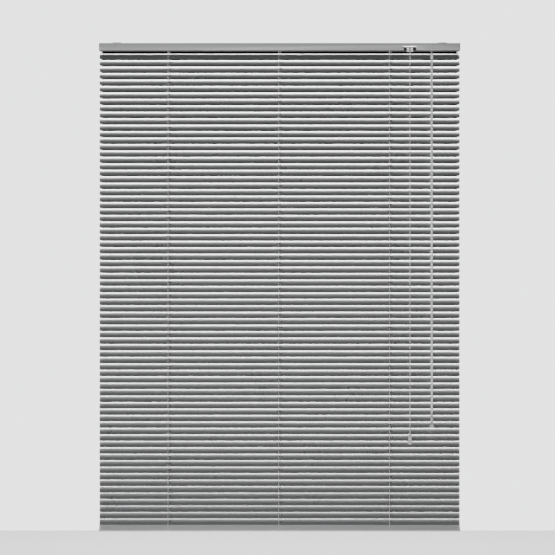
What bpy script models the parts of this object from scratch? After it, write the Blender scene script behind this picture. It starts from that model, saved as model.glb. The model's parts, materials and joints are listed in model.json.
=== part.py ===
"""Venetian blind with 25 mm aluminium slats, hung from the head of a window recess.

Frame: origin at the middle of the plane where the two brackets meet the window head. +Z is up,
the room is on the -Y side and +X is to the right seen from the room. Metres.

The blind is drawn fully lowered and closed, each slat with its room-side edge down. Every seventh
slat is a solid of its own here, on a carrier that is the length of centre ladder between it and
the next one. The slats in between have the same form and hang in the same ladders.
"""

import math

import bmesh
import bpy
from mathutils import Matrix, Vector

# Overall
BLIND_WIDTH = 1.200
SLAT_COUNT = 73
SLAT_PITCH = 0.0215
REST_TILT = math.radians(52)

# Clearances
GAP = 0.0003  # between pieces that touch on the real blind
RUN_GAP = 0.0005  # round pieces that turn or slide

# Slats
SLAT_WIDTH = 0.025
SLAT_GAUGE = 0.0002
SLAT_CROWN = 0.0020
SLAT_CORNER = 0.005
SLAT_INSET = 0.001  # shorter than the head rail at each end
ROUTE_LENGTH = 0.014
ROUTE_WIDTH = 0.005
SLATS_PER_CARRIER = 7
FIRST_CARRIED = 4  # number of the first slat that is drawn, counted from the top

# Head rail
RAIL_DEPTH = 0.025
RAIL_HEIGHT = 0.0248
RAIL_WALL = 0.0006
RAIL_LIP = 0.003
RAIL_CORNER = 0.0015
CAP_PLATE = 0.0012
CAP_PLUG = 0.007
FIRST_SLAT_DROP = 0.0175  # head rail's underside to the first slat's axis

# Brackets
BRACKET_GAUGE = 0.0010
BRACKET_WIDTH = 0.028
BRACKET_DEPTH = 0.0245
BRACKET_INSET = 0.060
BRACKET_HOLE = 0.0021
BRACKET_HOLE_SPACING = 0.018
HOOK_GAUGE = 0.0008
LEVER_GAUGE = 0.0008
LEVER_HUB = 0.0032
LEVER_WIDTH = 0.006
LEVER_REACH = 0.019

# Tilt shaft
ROD_FLATS = 0.005
ROD_DROP = 0.0116  # rail top to rod axis
ROD_OVERHANG = 0.014
DRUM_RADIUS = 0.0075
DRUM_BARREL = 0.0036
DRUM_FLANGE = 0.0094
DRUM_FLANGE_GAUGE = 0.0009
CHEEK = 0.0012
CRADLE_DEPTH = 0.012

# Ladders and lift cords
LADDER_INSET = 0.232
LADDER_THICKNESS = 0.0010
LADDER_OFFSET = 0.003  # ladders run beside the middle of the route holes
STRING_HOLE_LENGTH = 0.003
STRING_HOLE_SPARE = 0.0012
CORD_OFFSET = 0.0032
LIFT_CORD = 0.0014
CORD_HOLE = 0.0013

# Tilter and wand
TILTER_INSET = 0.096
WORM_LEAN = math.radians(40)
WORM_RADIUS = 0.0027
WORM_ROOT = 0.0020
WORM_LENGTH = 0.0065
GEAR_TEETH = 20
GEAR_CENTRES = 0.0073
GEAR_WIDTH = 0.005
TOOTH_GAP = 0.00025
TILTER_WALL = 0.0009
STEM_RADIUS = 0.0016
STEM_REACH = 0.0247
EYE_RADIUS = 0.0031
EYE_HOLE = 0.0020
EYE_GAUGE = 0.0008
HOOK_WIRE = 0.0010
HOOK_LOOP = 0.0034
HOOK_RISE = 0.0003  # the loop's crown over the middle of the eye
WAND_FLATS = 0.0062
WAND_TOP = -0.038
WAND_LENGTH = 1.238
WAND_CHAMFER = 0.0010
SLEEVE_LENGTH = 0.018
SLEEVE_RADIUS = 0.00475
SLEEVE_NECK = 0.010  # sleeve's top to the rod's end
SHANK_GRIP = 0.005  # how far the hook's shank goes into the rod
GRIP_LENGTH = 0.047
GRIP_RADIUS = 0.0048
GRIP_RING = 0.0058
GRIP_FLARE = 0.0083
GRIP_FLOOR = 0.002

# Cord lock and pull cord
LOCK_INSET = 0.168
LOCK_OPENING = 0.043
LOCK_OPENING_HEIGHT = 0.0150
LOCK_DEPTH = 0.0075
LOCK_CHEEK = 0.0078
LOCK_THROAT = 0.0046
LOCK_NOSE_DROP = 0.0055
LOCK_NOSE = 0.0022  # cord's room-side face to the nose's front
LOCK_STEP = 0.004  # body's top to the cheeks' tops
LOCK_SPARE = 0.0015
ROLLER_RADIUS = 0.0022
ROLLER_OVERLAP = 0.0010
ROLLER_RISE = 0.005  # slot over the roller, in which it lifts free of the cord
PULL_CORD = 0.0024
PULL_CORD_LENGTH = 1.262
TASSEL_LENGTH = 0.037
TASSEL_TOP_RADIUS = 0.0050
TASSEL_RADIUS = 0.0070
CONTROL_CLEARANCE = 0.0005

# Bottom rail
BOTTOM_DROP = 0.0208  # last slat's axis to the bottom rail's axis
BOTTOM_WIDTH = 0.025
BOTTOM_HEIGHT = 0.009
BOTTOM_WALL = 0.0006
PLUG_FLANGE = 0.005
PLUG_GAUGE = 0.0012
PLUG_STEM = 0.0028
PLUG_DEPTH = 0.004

# Places worked out from the sizes above
RAIL_TOP = -(BRACKET_GAUGE + LEVER_GAUGE + 2 * GAP)
RAIL_BOTTOM = RAIL_TOP - RAIL_HEIGHT
RAIL_FLOOR = RAIL_BOTTOM + RAIL_WALL
RAIL_HALF = RAIL_DEPTH / 2
RAIL_END = BLIND_WIDTH / 2 - CAP_PLATE - GAP
ROD_Z = RAIL_TOP - ROD_DROP
FIRST_SLAT_Z = RAIL_BOTTOM - FIRST_SLAT_DROP
LAST_SLAT_Z = FIRST_SLAT_Z - (SLAT_COUNT - 1) * SLAT_PITCH
BOTTOM_Z = LAST_SLAT_Z - BOTTOM_DROP
CARRIER_COUNT = SLAT_COUNT // SLATS_PER_CARRIER
LADDERS = {
    "left": LADDER_INSET - BLIND_WIDTH / 2,
    "centre": 0.0,
    "right": BLIND_WIDTH / 2 - LADDER_INSET,
}
SLAT_EDGE_Y = SLAT_WIDTH / 2 * math.cos(REST_TILT) + SLAT_CROWN * 2 / 3 * math.sin(REST_TILT)
LADDER_Y = SLAT_EDGE_Y + LADDER_THICKNESS / 2 + RUN_GAP
WOUND_RADIUS = DRUM_RADIUS + GAP + LADDER_THICKNESS / 2
LIFT_CORD_Y = -SLAT_CROWN / 3 * math.sin(REST_TILT)
TILTER_X = BLIND_WIDTH / 2 - TILTER_INSET
LOCK_X = BLIND_WIDTH / 2 - LOCK_INSET
WORM_AXIS = Vector((0, -math.sin(WORM_LEAN), -math.cos(WORM_LEAN)))
WORM_SIDE = Vector((0, -math.cos(WORM_LEAN), math.sin(WORM_LEAN)))
WORM_CENTRE = Vector((TILTER_X, 0, ROD_Z)) + WORM_SIDE * GEAR_CENTRES
EYE = WORM_CENTRE + WORM_AXIS * STEM_REACH
CONTROL_Y = -(SLAT_WIDTH / 2 + CONTROL_CLEARANCE + TASSEL_RADIUS)
HEX = math.cos(math.pi / 6)


# Shapes: each returns (points, faces) of one closed body


def loft(rings):
    """Join rings of points, all of one count, into a closed body with flat ends."""
    count = len(rings[0])
    points = [Vector(p) for ring in rings for p in ring]
    faces = [tuple(reversed(range(count)))]
    for level in range(len(rings) - 1):
        low, high = level * count, (level + 1) * count
        for i in range(count):
            j = (i + 1) % count
            faces.append((low + i, low + j, high + j, high + i))
    last = (len(rings) - 1) * count
    faces.append(tuple(range(last, last + count)))
    return points, faces


def along_x(outline, *stations):
    """Extrude a (y, z) outline between X stations."""
    return loft([[(x, y, z) for y, z in outline] for x in stations])


def block(low, high):
    """A rectangular block between two corners."""
    outline = [(low[1], low[2]), (high[1], low[2]), (high[1], high[2]), (low[1], high[2])]
    return along_x(outline, low[0], high[0])


def circle(radius, sides, start=0.0):
    """Points of a regular polygon round the origin."""
    turns = [start + 2 * math.pi * i / sides for i in range(sides)]
    return [(radius * math.cos(t), radius * math.sin(t)) for t in turns]


def turned(profile, sides, matrix):
    """Turn (radius, height) steps round a local Z axis that the matrix places."""
    rings = []
    for radius, height in profile:
        rings.append([matrix @ Vector((x, y, height)) for x, y in circle(radius, sides)])
    return loft(rings)


def on_x(x, y, z):
    """Place a local Z axis along +X."""
    return Matrix.Translation((x, y, z)) @ Matrix.Rotation(math.pi / 2, 4, "Y")


def on_worm(station):
    """Place a local Z axis along the worm's axis, so many metres from its middle."""
    turn = Vector((0, 0, 1)).rotation_difference(WORM_AXIS).to_matrix().to_4x4()
    return Matrix.Translation(WORM_CENTRE + WORM_AXIS * station) @ turn


def tilted(outline, axis_z):
    """Turn (across, up) points to the closed tilt, about an axis at this height."""
    cos, sin = math.cos(REST_TILT), math.sin(REST_TILT)
    return [(u * cos - h * sin, axis_z + u * sin + h * cos) for u, h in outline]


# Objects


def finish(name, colour, roughness, metallic):
    """A Principled material for one kind of piece."""
    material = bpy.data.materials.new(name)
    material.use_nodes = True
    shader = material.node_tree.nodes["Principled BSDF"]
    shader.inputs["Base Color"].default_value = (*colour, 1)
    shader.inputs["Roughness"].default_value = roughness
    shader.inputs["Metallic"].default_value = metallic
    material.diffuse_color = (*colour, 1)
    return material


def add(name, shape, material=None, pivot=(0, 0, 0), smooth=False):
    """Make an object from a shape in world places, with its origin at the pivot."""
    points, faces = shape
    mesh = bpy.data.meshes.new(name)
    mesh.from_pydata([p - Vector(pivot) for p in points], [], faces)
    form = bmesh.new()
    form.from_mesh(mesh)
    bmesh.ops.recalc_face_normals(form, faces=form.faces)
    form.to_mesh(mesh)
    form.free()
    if smooth:
        mesh.shade_smooth()
        mesh.set_sharp_from_angle(angle=math.radians(35))
    thing = bpy.data.objects.new(name, mesh)
    thing.location = pivot
    if material:
        mesh.materials.append(material)
    bpy.context.scene.collection.objects.link(thing)
    return thing


def combine(thing, shape, operation):
    """Unite an object with a shape in world places, or cut the shape out of it."""
    tool = add("tool", shape)
    step = thing.modifiers.new(operation, "BOOLEAN")
    step.object = tool
    step.operation = operation
    step.solver = "EXACT"
    bpy.context.view_layer.update()
    depsgraph = bpy.context.evaluated_depsgraph_get()
    mesh = bpy.data.meshes.new_from_object(thing.evaluated_get(depsgraph))
    thing.modifiers.clear()
    thing.data = mesh
    bpy.data.objects.remove(tool)
    return thing


def cut(thing, *shapes):
    for shape in shapes:
        combine(thing, shape, "DIFFERENCE")
    return thing


def join(thing, *shapes):
    for shape in shapes:
        combine(thing, shape, "UNION")
    return thing


def cord(name, route, diameter, material):
    """A cord as a bevelled poly curve with filled ends."""
    curve = bpy.data.curves.new(name, "CURVE")
    curve.dimensions = "3D"
    curve.bevel_depth = diameter / 2
    curve.bevel_resolution = 2
    curve.use_fill_caps = True
    spline = curve.splines.new("POLY")
    spline.points.add(len(route) - 1)
    for point, place in zip(spline.points, route):
        point.co = (*place, 1)
    curve.materials.append(material)
    thing = bpy.data.objects.new(name, curve)
    bpy.context.scene.collection.objects.link(thing)
    return thing


# Head rail


def rail_outline():
    """The channel's section: open at the top, lips turned in, lower corners rounded."""
    out, inn, top, low = RAIL_HALF, RAIL_HALF - RAIL_WALL, RAIL_TOP, RAIL_BOTTOM
    step = RAIL_CORNER * (1 - math.cos(math.pi / 4))
    lip = out - RAIL_LIP
    right = [
        (out - RAIL_CORNER, low),
        (out - step, low + step),
        (out, low + RAIL_CORNER),
        (out, top),
        (lip, top),
        (lip, top - RAIL_WALL),
        (inn, top - RAIL_WALL),
        (inn, low + RAIL_CORNER),
        (inn - step, low + RAIL_WALL + step),
        (inn - RAIL_CORNER + RAIL_WALL, low + RAIL_WALL),
    ]
    return right + [(-y, z) for y, z in reversed(right)]


def make_head_rail(material):
    rail = add("head_rail", along_x(rail_outline(), -RAIL_END, RAIL_END), material)
    spare = LADDER_THICKNESS / 2 + STRING_HOLE_SPARE
    inner, outer = min(LADDER_Y, WOUND_RADIUS) - spare, max(LADDER_Y, WOUND_RADIUS) + spare
    below, above = RAIL_BOTTOM - RAIL_WALL, RAIL_FLOOR + RAIL_WALL
    for x in LADDERS.values():
        left = x - LADDER_OFFSET - STRING_HOLE_LENGTH / 2
        right = left + STRING_HOLE_LENGTH
        for near, far in ((-outer, -inner), (inner, outer)):
            cut(rail, block((left, near, below), (right, far, above)))
        hole = Matrix.Translation((x + CORD_OFFSET, LIFT_CORD_Y, 0))
        cut(rail, turned([(CORD_HOLE, below), (CORD_HOLE, above)], 12, hole))
    lock_low = (LOCK_X - LOCK_OPENING / 2, -RAIL_DEPTH, below)
    lock_high = (LOCK_X + LOCK_OPENING / 2, LOCK_DEPTH - RAIL_HALF, RAIL_BOTTOM + LOCK_OPENING_HEIGHT)
    cut(rail, block(lock_low, lock_high))
    bore = STEM_RADIUS + RUN_GAP
    cut(rail, turned([(bore, 0), (bore, STEM_REACH)], 12, on_worm(WORM_LENGTH)))
    return rail


def end_cap(name, side, outline, inner, rail_end, material):
    """A moulded cap: a plate over a rail's end and a plug inside it."""
    face = side * (rail_end + GAP)
    plate = add(name, along_x(outline, face, face + side * CAP_PLATE), material)
    return join(plate, along_x(inner, face - side * CAP_PLUG, face + side * CAP_PLATE / 2))


def make_head_cap(name, side, material):
    half, low = RAIL_HALF, RAIL_BOTTOM
    plate = [
        (-half, low + RAIL_CORNER),
        (RAIL_CORNER - half, low),
        (half - RAIL_CORNER, low),
        (half, low + RAIL_CORNER),
        (half, RAIL_TOP),
        (-half, RAIL_TOP),
    ]
    inner = half - RAIL_WALL - GAP
    floor, ceiling = RAIL_FLOOR + GAP, RAIL_TOP - RAIL_WALL - GAP
    plug = [
        (-inner, floor + RAIL_CORNER),
        (RAIL_CORNER - inner, floor),
        (inner - RAIL_CORNER, floor),
        (inner, floor + RAIL_CORNER),
        (inner, ceiling),
        (-inner, ceiling),
    ]
    return end_cap(name, side, plate, plug, RAIL_END, material)


def make_bracket(name, x, material):
    """A plate screwed up to the window head, with a hook under the rail's room-side lip."""
    half, depth = BRACKET_WIDTH / 2, BRACKET_DEPTH / 2
    plate = add(name, block((x - half, -depth, -BRACKET_GAUGE), (x + half, depth, 0)), material)
    lip = RAIL_HALF - RAIL_LIP
    leg_y = GAP - lip
    foot_z = RAIL_TOP - RAIL_WALL - GAP
    leg = block(
        (x - half, leg_y, foot_z - HOOK_GAUGE), (x + half, leg_y + HOOK_GAUGE, -BRACKET_GAUGE / 2)
    )
    foot = block(
        (x - half, leg_y - RAIL_LIP / 2, foot_z - HOOK_GAUGE), (x + half, leg_y + HOOK_GAUGE / 2, foot_z)
    )
    join(plate, leg, foot)
    for side in (-1, 1):
        place = Matrix.Translation((x + side * BRACKET_HOLE_SPACING / 2, 0, -2 * BRACKET_GAUGE))
        cut(plate, turned([(BRACKET_HOLE, 0), (BRACKET_HOLE, 3 * BRACKET_GAUGE)], 12, place))
    return plate


def make_lever(name, x, material):
    """The swivel lever: a finger tab over the rail's wall and a cam under its far lip."""
    top = -(BRACKET_GAUGE + GAP)
    cam_top = RAIL_TOP - RAIL_WALL - GAP
    hub = turned(
        [(LEVER_HUB, cam_top - LEVER_GAUGE), (LEVER_HUB, top)], 16, Matrix.Translation((x, 0, 0))
    )
    lever = add(name, hub, material, pivot=(x, 0, top))
    half = LEVER_WIDTH / 2
    cam_reach = RAIL_HALF - RAIL_WALL - RUN_GAP
    tab = block((x - half, 0, top - LEVER_GAUGE), (x + half, LEVER_REACH, top))
    cam = block((x - half, 0, cam_top - LEVER_GAUGE), (x + half, cam_reach, cam_top))
    return join(lever, tab, cam)


# Tilt shaft


def make_tilt_rod(material):
    radius = ROD_FLATS / 2 / HEX
    left, right = LADDERS["left"] - ROD_OVERHANG, TILTER_X + ROD_OVERHANG
    rod = turned([(radius, left), (radius, right)], 6, on_x(0, 0, ROD_Z))
    return add("tilt_rod", rod, material, pivot=(0, 0, ROD_Z))


def rod_bore(x, length, spare):
    """A hexagonal hole for the tilt rod, centred on x."""
    radius = (ROD_FLATS / 2 + spare) / HEX
    return turned([(radius, -length / 2), (radius, length / 2)], 6, on_x(x, 0, ROD_Z))


def drum_width():
    return DRUM_BARREL + 2 * DRUM_FLANGE_GAUGE


def make_drum(name, x, material):
    """A moulded drum that winds the ladder's two strings as the rod turns."""
    half, barrel = drum_width() / 2, DRUM_BARREL / 2
    profile = [
        (DRUM_FLANGE, -half),
        (DRUM_FLANGE, -barrel),
        (DRUM_RADIUS, -barrel),
        (DRUM_RADIUS, barrel),
        (DRUM_FLANGE, barrel),
        (DRUM_FLANGE, half),
    ]
    centre = x - LADDER_OFFSET
    drum = add(name, turned(profile, 24, on_x(centre, 0, ROD_Z)), material, (centre, 0, ROD_Z))
    return cut(drum, rod_bore(centre, 2 * drum_width(), GAP))


def make_cradle(name, x, material):
    """A saddle on the rail's floor: two cheeks that carry the rod on each side of the drum."""
    centre = x - LADDER_OFFSET
    inner = drum_width() / 2 + RUN_GAP
    floor, half = RAIL_FLOOR + GAP, CRADLE_DEPTH / 2
    foot_end = x + CORD_OFFSET + CORD_HOLE + CHEEK
    saddle = add(
        name,
        block((centre - inner - CHEEK, -half, floor), (foot_end, half, floor + CHEEK)),
        material,
    )
    top = ROD_Z + ROD_FLATS / 2
    notch = ROD_FLATS / 2 / HEX + RUN_GAP
    cheek = [(-half, floor), (half, floor), (notch + CHEEK, top)]
    cheek += [(notch, top)]
    turns = [-math.pi * i / 6 for i in range(7)]
    cheek += [(notch * math.cos(t), ROD_Z + notch * math.sin(t)) for t in turns]
    cheek += [(-notch, top), (-notch - CHEEK, top)]
    for side in (-1, 1):
        start = centre + side * inner
        join(saddle, along_x(cheek, start, start + side * CHEEK))
    hole = Matrix.Translation((x + CORD_OFFSET, LIFT_CORD_Y, floor - CHEEK))
    return cut(saddle, turned([(CORD_HOLE, 0), (CORD_HOLE, 3 * CHEEK)], 12, hole))


# Tilter and wand


def tooth_pitch():
    return 2 * math.pi * gear_pitch_radius() / GEAR_TEETH


def gear_pitch_radius():
    return GEAR_CENTRES - (WORM_RADIUS + WORM_ROOT) / 2


def make_gear(material):
    """A spur gear on the rod, one tooth of it level with the worm's middle."""
    tip = GEAR_CENTRES - WORM_ROOT - TOOTH_GAP
    root = GEAR_CENTRES - WORM_RADIUS - TOOTH_GAP
    towards_worm = math.atan2(WORM_SIDE.z, WORM_SIDE.y)
    outline = []
    for tooth in range(GEAR_TEETH):
        middle = towards_worm + 2 * math.pi * tooth / GEAR_TEETH
        for share, radius in ((-0.26, root), (-0.13, tip), (0.13, tip), (0.26, root)):
            turn = middle + 2 * math.pi * share / GEAR_TEETH
            outline.append((radius * math.cos(turn), ROD_Z + radius * math.sin(turn)))
    half = GEAR_WIDTH / 2
    gear = along_x(outline, TILTER_X - half, TILTER_X + half)
    wheel = add("tilter_gear", gear, material, pivot=(TILTER_X, 0, ROD_Z))
    return cut(wheel, rod_bore(TILTER_X, 2 * GEAR_WIDTH, GAP))


def worm_radius(phase):
    """The worm's radius at a share of one turn of its thread, 0 midway between two flights."""
    distance = abs(phase - round(phase))
    if distance > 0.40:
        return WORM_RADIUS
    if distance > 0.28:
        return WORM_ROOT + (WORM_RADIUS - WORM_ROOT) * (distance - 0.28) / 0.12
    return WORM_ROOT


def make_worm(material):
    """A single-start worm with its stem, which leaves the rail and ends in a flat eye."""
    sides, rows_per_turn = 16, 10
    facing_gear = 0.75  # share of a turn at which the worm's side meets the gear
    pitch = tooth_pitch()
    rows = round(WORM_LENGTH / pitch * rows_per_turn)
    frame = on_worm(0)
    rings = []
    for row in range(rows + 1):
        height = WORM_LENGTH * (row / rows - 0.5)
        ring = []
        for side in range(sides):
            turn = 2 * math.pi * side / sides
            radius = worm_radius(height / pitch - side / sides + facing_gear)
            ring.append(frame @ Vector((radius * math.cos(turn), radius * math.sin(turn), height)))
        rings.append(ring)
    worm = add("tilter_worm", loft(rings), material, pivot=WORM_CENTRE)
    stem_start = WORM_LENGTH / 2 - GAP
    stem_end = STEM_REACH - (EYE_HOLE + EYE_RADIUS) / 2
    stem = turned([(STEM_RADIUS, stem_start), (STEM_RADIUS, stem_end)], 12, frame)
    lug = turned([(EYE_RADIUS, -EYE_GAUGE / 2), (EYE_RADIUS, EYE_GAUGE / 2)], 20, on_x(*EYE))
    hole = turned([(EYE_HOLE, -EYE_RADIUS), (EYE_HOLE, EYE_RADIUS)], 16, on_x(*EYE))
    join(worm, stem, lug)
    return cut(worm, hole)


def make_tilter_housing(material):
    """The tilter's case, open at the top, with bores for the rod and for the worm's stem."""
    bay = GEAR_WIDTH / 2 + RUN_GAP + TILTER_WALL / 2
    half = bay + TILTER_WALL
    front = RAIL_HALF - RAIL_WALL - GAP
    back = GEAR_CENTRES + TILTER_WALL
    floor = RAIL_FLOOR + GAP
    low = (TILTER_X - half, -front, floor + RAIL_CORNER)
    case = add("tilter_housing", block(low, (TILTER_X + half, back, ROD_Z + GEAR_CENTRES)), material)
    bay_low = (TILTER_X - bay, TILTER_WALL - front, floor + RAIL_CORNER + TILTER_WALL)
    cut(case, block(bay_low, (TILTER_X + bay, back - TILTER_WALL, 0)))
    round_bore = ROD_FLATS / 2 / HEX + RUN_GAP
    cut(case, turned([(round_bore, -0.02), (round_bore, 0.02)], 16, on_x(TILTER_X, 0, ROD_Z)))
    bore = STEM_RADIUS + RUN_GAP
    return cut(case, turned([(bore, 0), (bore, STEM_REACH)], 12, on_worm(WORM_LENGTH / 2)))


def ring_of_wire(centre, radius, wire, sides, steps):
    """A closed ring of wire that stands in a plane across the Y axis."""
    points, faces = [], []
    for step in range(steps):
        turn = 2 * math.pi * step / steps
        for out, along in circle(wire, sides):
            reach = radius + out
            offset = Vector((reach * math.sin(turn), along, reach * math.cos(turn)))
            points.append(centre + offset)
    for step in range(steps):
        near, far = step * sides, (step + 1) % steps * sides
        for i in range(sides):
            j = (i + 1) % sides
            faces.append((near + i, near + j, far + j, far + i))
    return points, faces


def wand_frame():
    return Matrix.Translation((EYE.x, EYE.y, 0))


def rod_top():
    return WAND_TOP - SLEEVE_NECK


def rod_radius():
    return WAND_FLATS / 2 / HEX


def make_wand_hook(material):
    """A wire ring through the stem's eye, with a shank pressed into the wand's end."""
    wire = HOOK_WIRE / 2
    centre = Vector((EYE.x, EYE.y, EYE.z + HOOK_RISE - HOOK_LOOP))
    ring = add("wand_hook", ring_of_wire(centre, HOOK_LOOP, wire, 8, 24), material, pivot=EYE)
    profile = [(wire, rod_top() - SHANK_GRIP), (wire, centre.z - HOOK_LOOP)]
    return join(ring, turned(profile, 8, wand_frame()))


def make_wand_sleeve(material):
    """A round collar over the shank and the rod's end, in which they both turn."""
    low = WAND_TOP - SLEEVE_LENGTH
    profile = [
        (SLEEVE_RADIUS - WAND_CHAMFER, low),
        (SLEEVE_RADIUS, low + WAND_CHAMFER),
        (SLEEVE_RADIUS, WAND_TOP - WAND_CHAMFER),
        (SLEEVE_RADIUS - WAND_CHAMFER, WAND_TOP),
    ]
    sleeve = add("wand_sleeve", turned(profile, 18, wand_frame()), material, pivot=EYE)
    neck, socket = HOOK_WIRE / 2 + GAP, rod_radius() + GAP
    seat = rod_top() + GAP
    cut(sleeve, turned([(neck, seat - WAND_CHAMFER), (neck, WAND_TOP + WAND_CHAMFER)], 12, wand_frame()))
    return cut(sleeve, turned([(socket, low - WAND_CHAMFER), (socket, seat)], 18, wand_frame()))


def make_wand(material):
    """A six-sided clear rod, bored at its top for the hook's shank."""
    profile = [(rod_radius(), WAND_TOP - WAND_LENGTH), (rod_radius(), rod_top())]
    wand = add("wand", turned(profile, 6, wand_frame()), material, (EYE.x, EYE.y, rod_top()))
    bore, depth = HOOK_WIRE / 2 + GAP, SHANK_GRIP + GAP
    profile = [(bore, rod_top() - depth), (bore, rod_top() + depth)]
    return cut(wand, turned(profile, 12, wand_frame()))


def make_grip(material):
    """The moulded grip: a ring, a waist and a flared foot, bored for the rod's end."""
    low = WAND_TOP - WAND_LENGTH - GRIP_FLOOR
    high = low + GRIP_LENGTH
    profile = [
        (GRIP_FLARE - 0.001, low),
        (GRIP_FLARE, low + 0.002),
        (GRIP_FLARE, low + 0.006),
        (GRIP_RADIUS + 0.001, low + 0.013),
        (GRIP_RADIUS, low + 0.016),
        (GRIP_RADIUS, high - 0.007),
        (GRIP_RING, high - 0.005),
        (GRIP_RING, high - 0.002),
        (GRIP_RADIUS, high),
    ]
    grip = add("wand_grip", turned(profile, 18, wand_frame()), material, (EYE.x, EYE.y, high))
    bore = rod_radius() + GAP
    socket = [(bore, low + GRIP_FLOOR - GAP), (bore, high + GRIP_FLOOR)]
    return cut(grip, turned(socket, 18, wand_frame()))


# Cord lock and pull cord


def lock_exit_z():
    return RAIL_BOTTOM - LOCK_NOSE_DROP


def roller_place():
    return (LOCK_X, CONTROL_Y + PULL_CORD / 2 + GAP + ROLLER_RADIUS, RAIL_BOTTOM + ROLLER_RADIUS)


def make_cord_lock(material):
    """The moulded lock: a block in the rail's corner and two cheeks that guide the cord."""
    half = LOCK_OPENING / 2 - LOCK_SPARE
    back = LOCK_DEPTH - RAIL_HALF - RUN_GAP
    front = RAIL_WALL + GAP - RAIL_HALF
    floor = RAIL_FLOOR + GAP
    top = RAIL_BOTTOM + LOCK_OPENING_HEIGHT - LOCK_SPARE - LOCK_STEP
    lock = add("cord_lock", block((LOCK_X - half, front, floor), (LOCK_X + half, back, top)), material)
    nose = CONTROL_Y - LOCK_NOSE
    step = LOCK_SPARE / 2
    cheek = [
        (back - step, floor + step),
        (front, floor + step),
        (front - LOCK_NOSE, lock_exit_z()),
        (nose, lock_exit_z()),
        (nose, RAIL_BOTTOM + LOCK_STEP),
        (front, top - step),
        (back - step, top - step),
    ]
    throat = LOCK_THROAT / 2
    for side in (-1, 1):
        near, far = LOCK_X + side * throat, LOCK_X + side * (throat + LOCK_CHEEK)
        join(lock, along_x(cheek, near, far))
    mouth, wide = ROLLER_RADIUS + RUN_GAP, throat + ROLLER_OVERLAP + RUN_GAP
    x, y, z = roller_place()
    slot = block((x - wide, y - mouth, z - mouth), (x + wide, y + mouth, z + ROLLER_RISE))
    return cut(lock, slot)


def make_roller(material):
    """The lock's knurled roller, which the cord pulls down into the throat."""
    x, y, z = roller_place()
    half = LOCK_THROAT / 2 + ROLLER_OVERLAP
    outline = []
    for i, (u, v) in enumerate(circle(ROLLER_RADIUS, 24)):
        share = 1.0 if i % 2 else 0.93
        outline.append((y + u * share, z + v * share))
    return add("cord_lock_roller", along_x(outline, x - half, x + half), material, pivot=(x, y, z))


def straight(start, end, count):
    """Evenly spaced points from start to end."""
    start, end = Vector(start), Vector(end)
    return [start.lerp(end, i / (count - 1)) for i in range(count)]


def make_pull_cord(material):
    top = lock_exit_z() - GAP
    route = straight((LOCK_X, CONTROL_Y, top), (LOCK_X, CONTROL_Y, top - PULL_CORD_LENGTH), 72)
    return cord("pull_cord", route, PULL_CORD, material)


def make_tassel(material):
    """A bullet-shaped moulded tassel with a shoulder at its top."""
    high = lock_exit_z() - PULL_CORD_LENGTH - 2 * GAP
    low = high - TASSEL_LENGTH
    frame = Matrix.Translation((LOCK_X, CONTROL_Y, 0))
    profile = [
        (TASSEL_RADIUS - 0.0015, low),
        (TASSEL_RADIUS, low + 0.0015),
        (TASSEL_RADIUS, low + 0.006),
        (TASSEL_TOP_RADIUS + 0.0006, high - 0.012),
        (TASSEL_TOP_RADIUS, high - 0.003),
        (TASSEL_TOP_RADIUS - 0.002, high),
    ]
    return add("cord_tassel", turned(profile, 18, frame), material, pivot=(LOCK_X, CONTROL_Y, high))


# Ladders and lift cords


def ladder_solid(rungs, top, bottom, x, over_drum):
    """A flat ladder in the YZ plane: two strings, sloping rungs, and a turn over the drum."""
    half, depth = LADDER_THICKNESS / 2, LADDER_THICKNESS / 2
    drop = SLAT_WIDTH / 2 * math.sin(REST_TILT)
    form = bmesh.new()
    stops = {}
    for side in (-1, 1):
        heights = {top, bottom}
        for rung in rungs:
            heights |= {rung + side * drop - half, rung + side * drop + half}
        for height in sorted(heights):
            edge = side * (LADDER_Y - half), side * (LADDER_Y + half)
            stops[side, height] = [form.verts.new((x - depth, y, height)) for y in edge]
        levels = sorted(heights)
        for low, high in zip(levels, levels[1:]):
            (a, b), (c, d) = stops[side, low], stops[side, high]
            form.faces.new((a, b, d, c))
    for rung in rungs:
        corners = []
        for side, ends in ((-1, (-half, half)), (1, (half, -half))):
            corners += [stops[side, rung + side * drop + end][0] for end in ends]
        form.faces.new(corners)
    if over_drum:
        steps = 12
        last = stops[-1, top]
        for i in range(steps + 1):
            turn = math.pi * (1 - i / steps)
            ring = []
            for radius in (WOUND_RADIUS - half, WOUND_RADIUS + half):
                y, z = radius * math.cos(turn), ROD_Z + radius * math.sin(turn)
                ring.append(form.verts.new((x - depth, y, z)))
            form.faces.new((last[0], last[1], ring[1], ring[0]))
            last = ring
        end = stops[1, top]
        form.faces.new((last[0], last[1], end[1], end[0]))
    bmesh.ops.recalc_face_normals(form, faces=form.faces)
    flat = form.faces[:]
    raised = bmesh.ops.extrude_face_region(form, geom=flat)["geom"]
    moved = [part for part in raised if isinstance(part, bmesh.types.BMVert)]
    bmesh.ops.translate(form, verts=moved, vec=(2 * depth, 0, 0))
    form.verts.index_update()
    points = [v.co.copy() for v in form.verts]
    faces = [tuple(v.index for v in face.verts) for face in form.faces]
    form.free()
    return points, faces


def carrier_slat_z(index):
    """Height of the slat that a carrier holds, counted from 0 at the top."""
    number = FIRST_CARRIED + index * SLATS_PER_CARRIER
    return FIRST_SLAT_Z - (number - 1) * SLAT_PITCH


def rung_height(index):
    """The rung of the slat that hangs next below a carried one."""
    return carrier_slat_z(index) - SLAT_PITCH


def carrier_ends(index):
    """Top and bottom of a carrier, half-way between two slats."""
    top = carrier_slat_z(index) + (FIRST_CARRIED - 0.5) * SLAT_PITCH
    return top, top - SLATS_PER_CARRIER * SLAT_PITCH + GAP


def ladder_foot():
    return BOTTOM_Z + BOTTOM_WIDTH / 2 * math.sin(REST_TILT)


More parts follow.
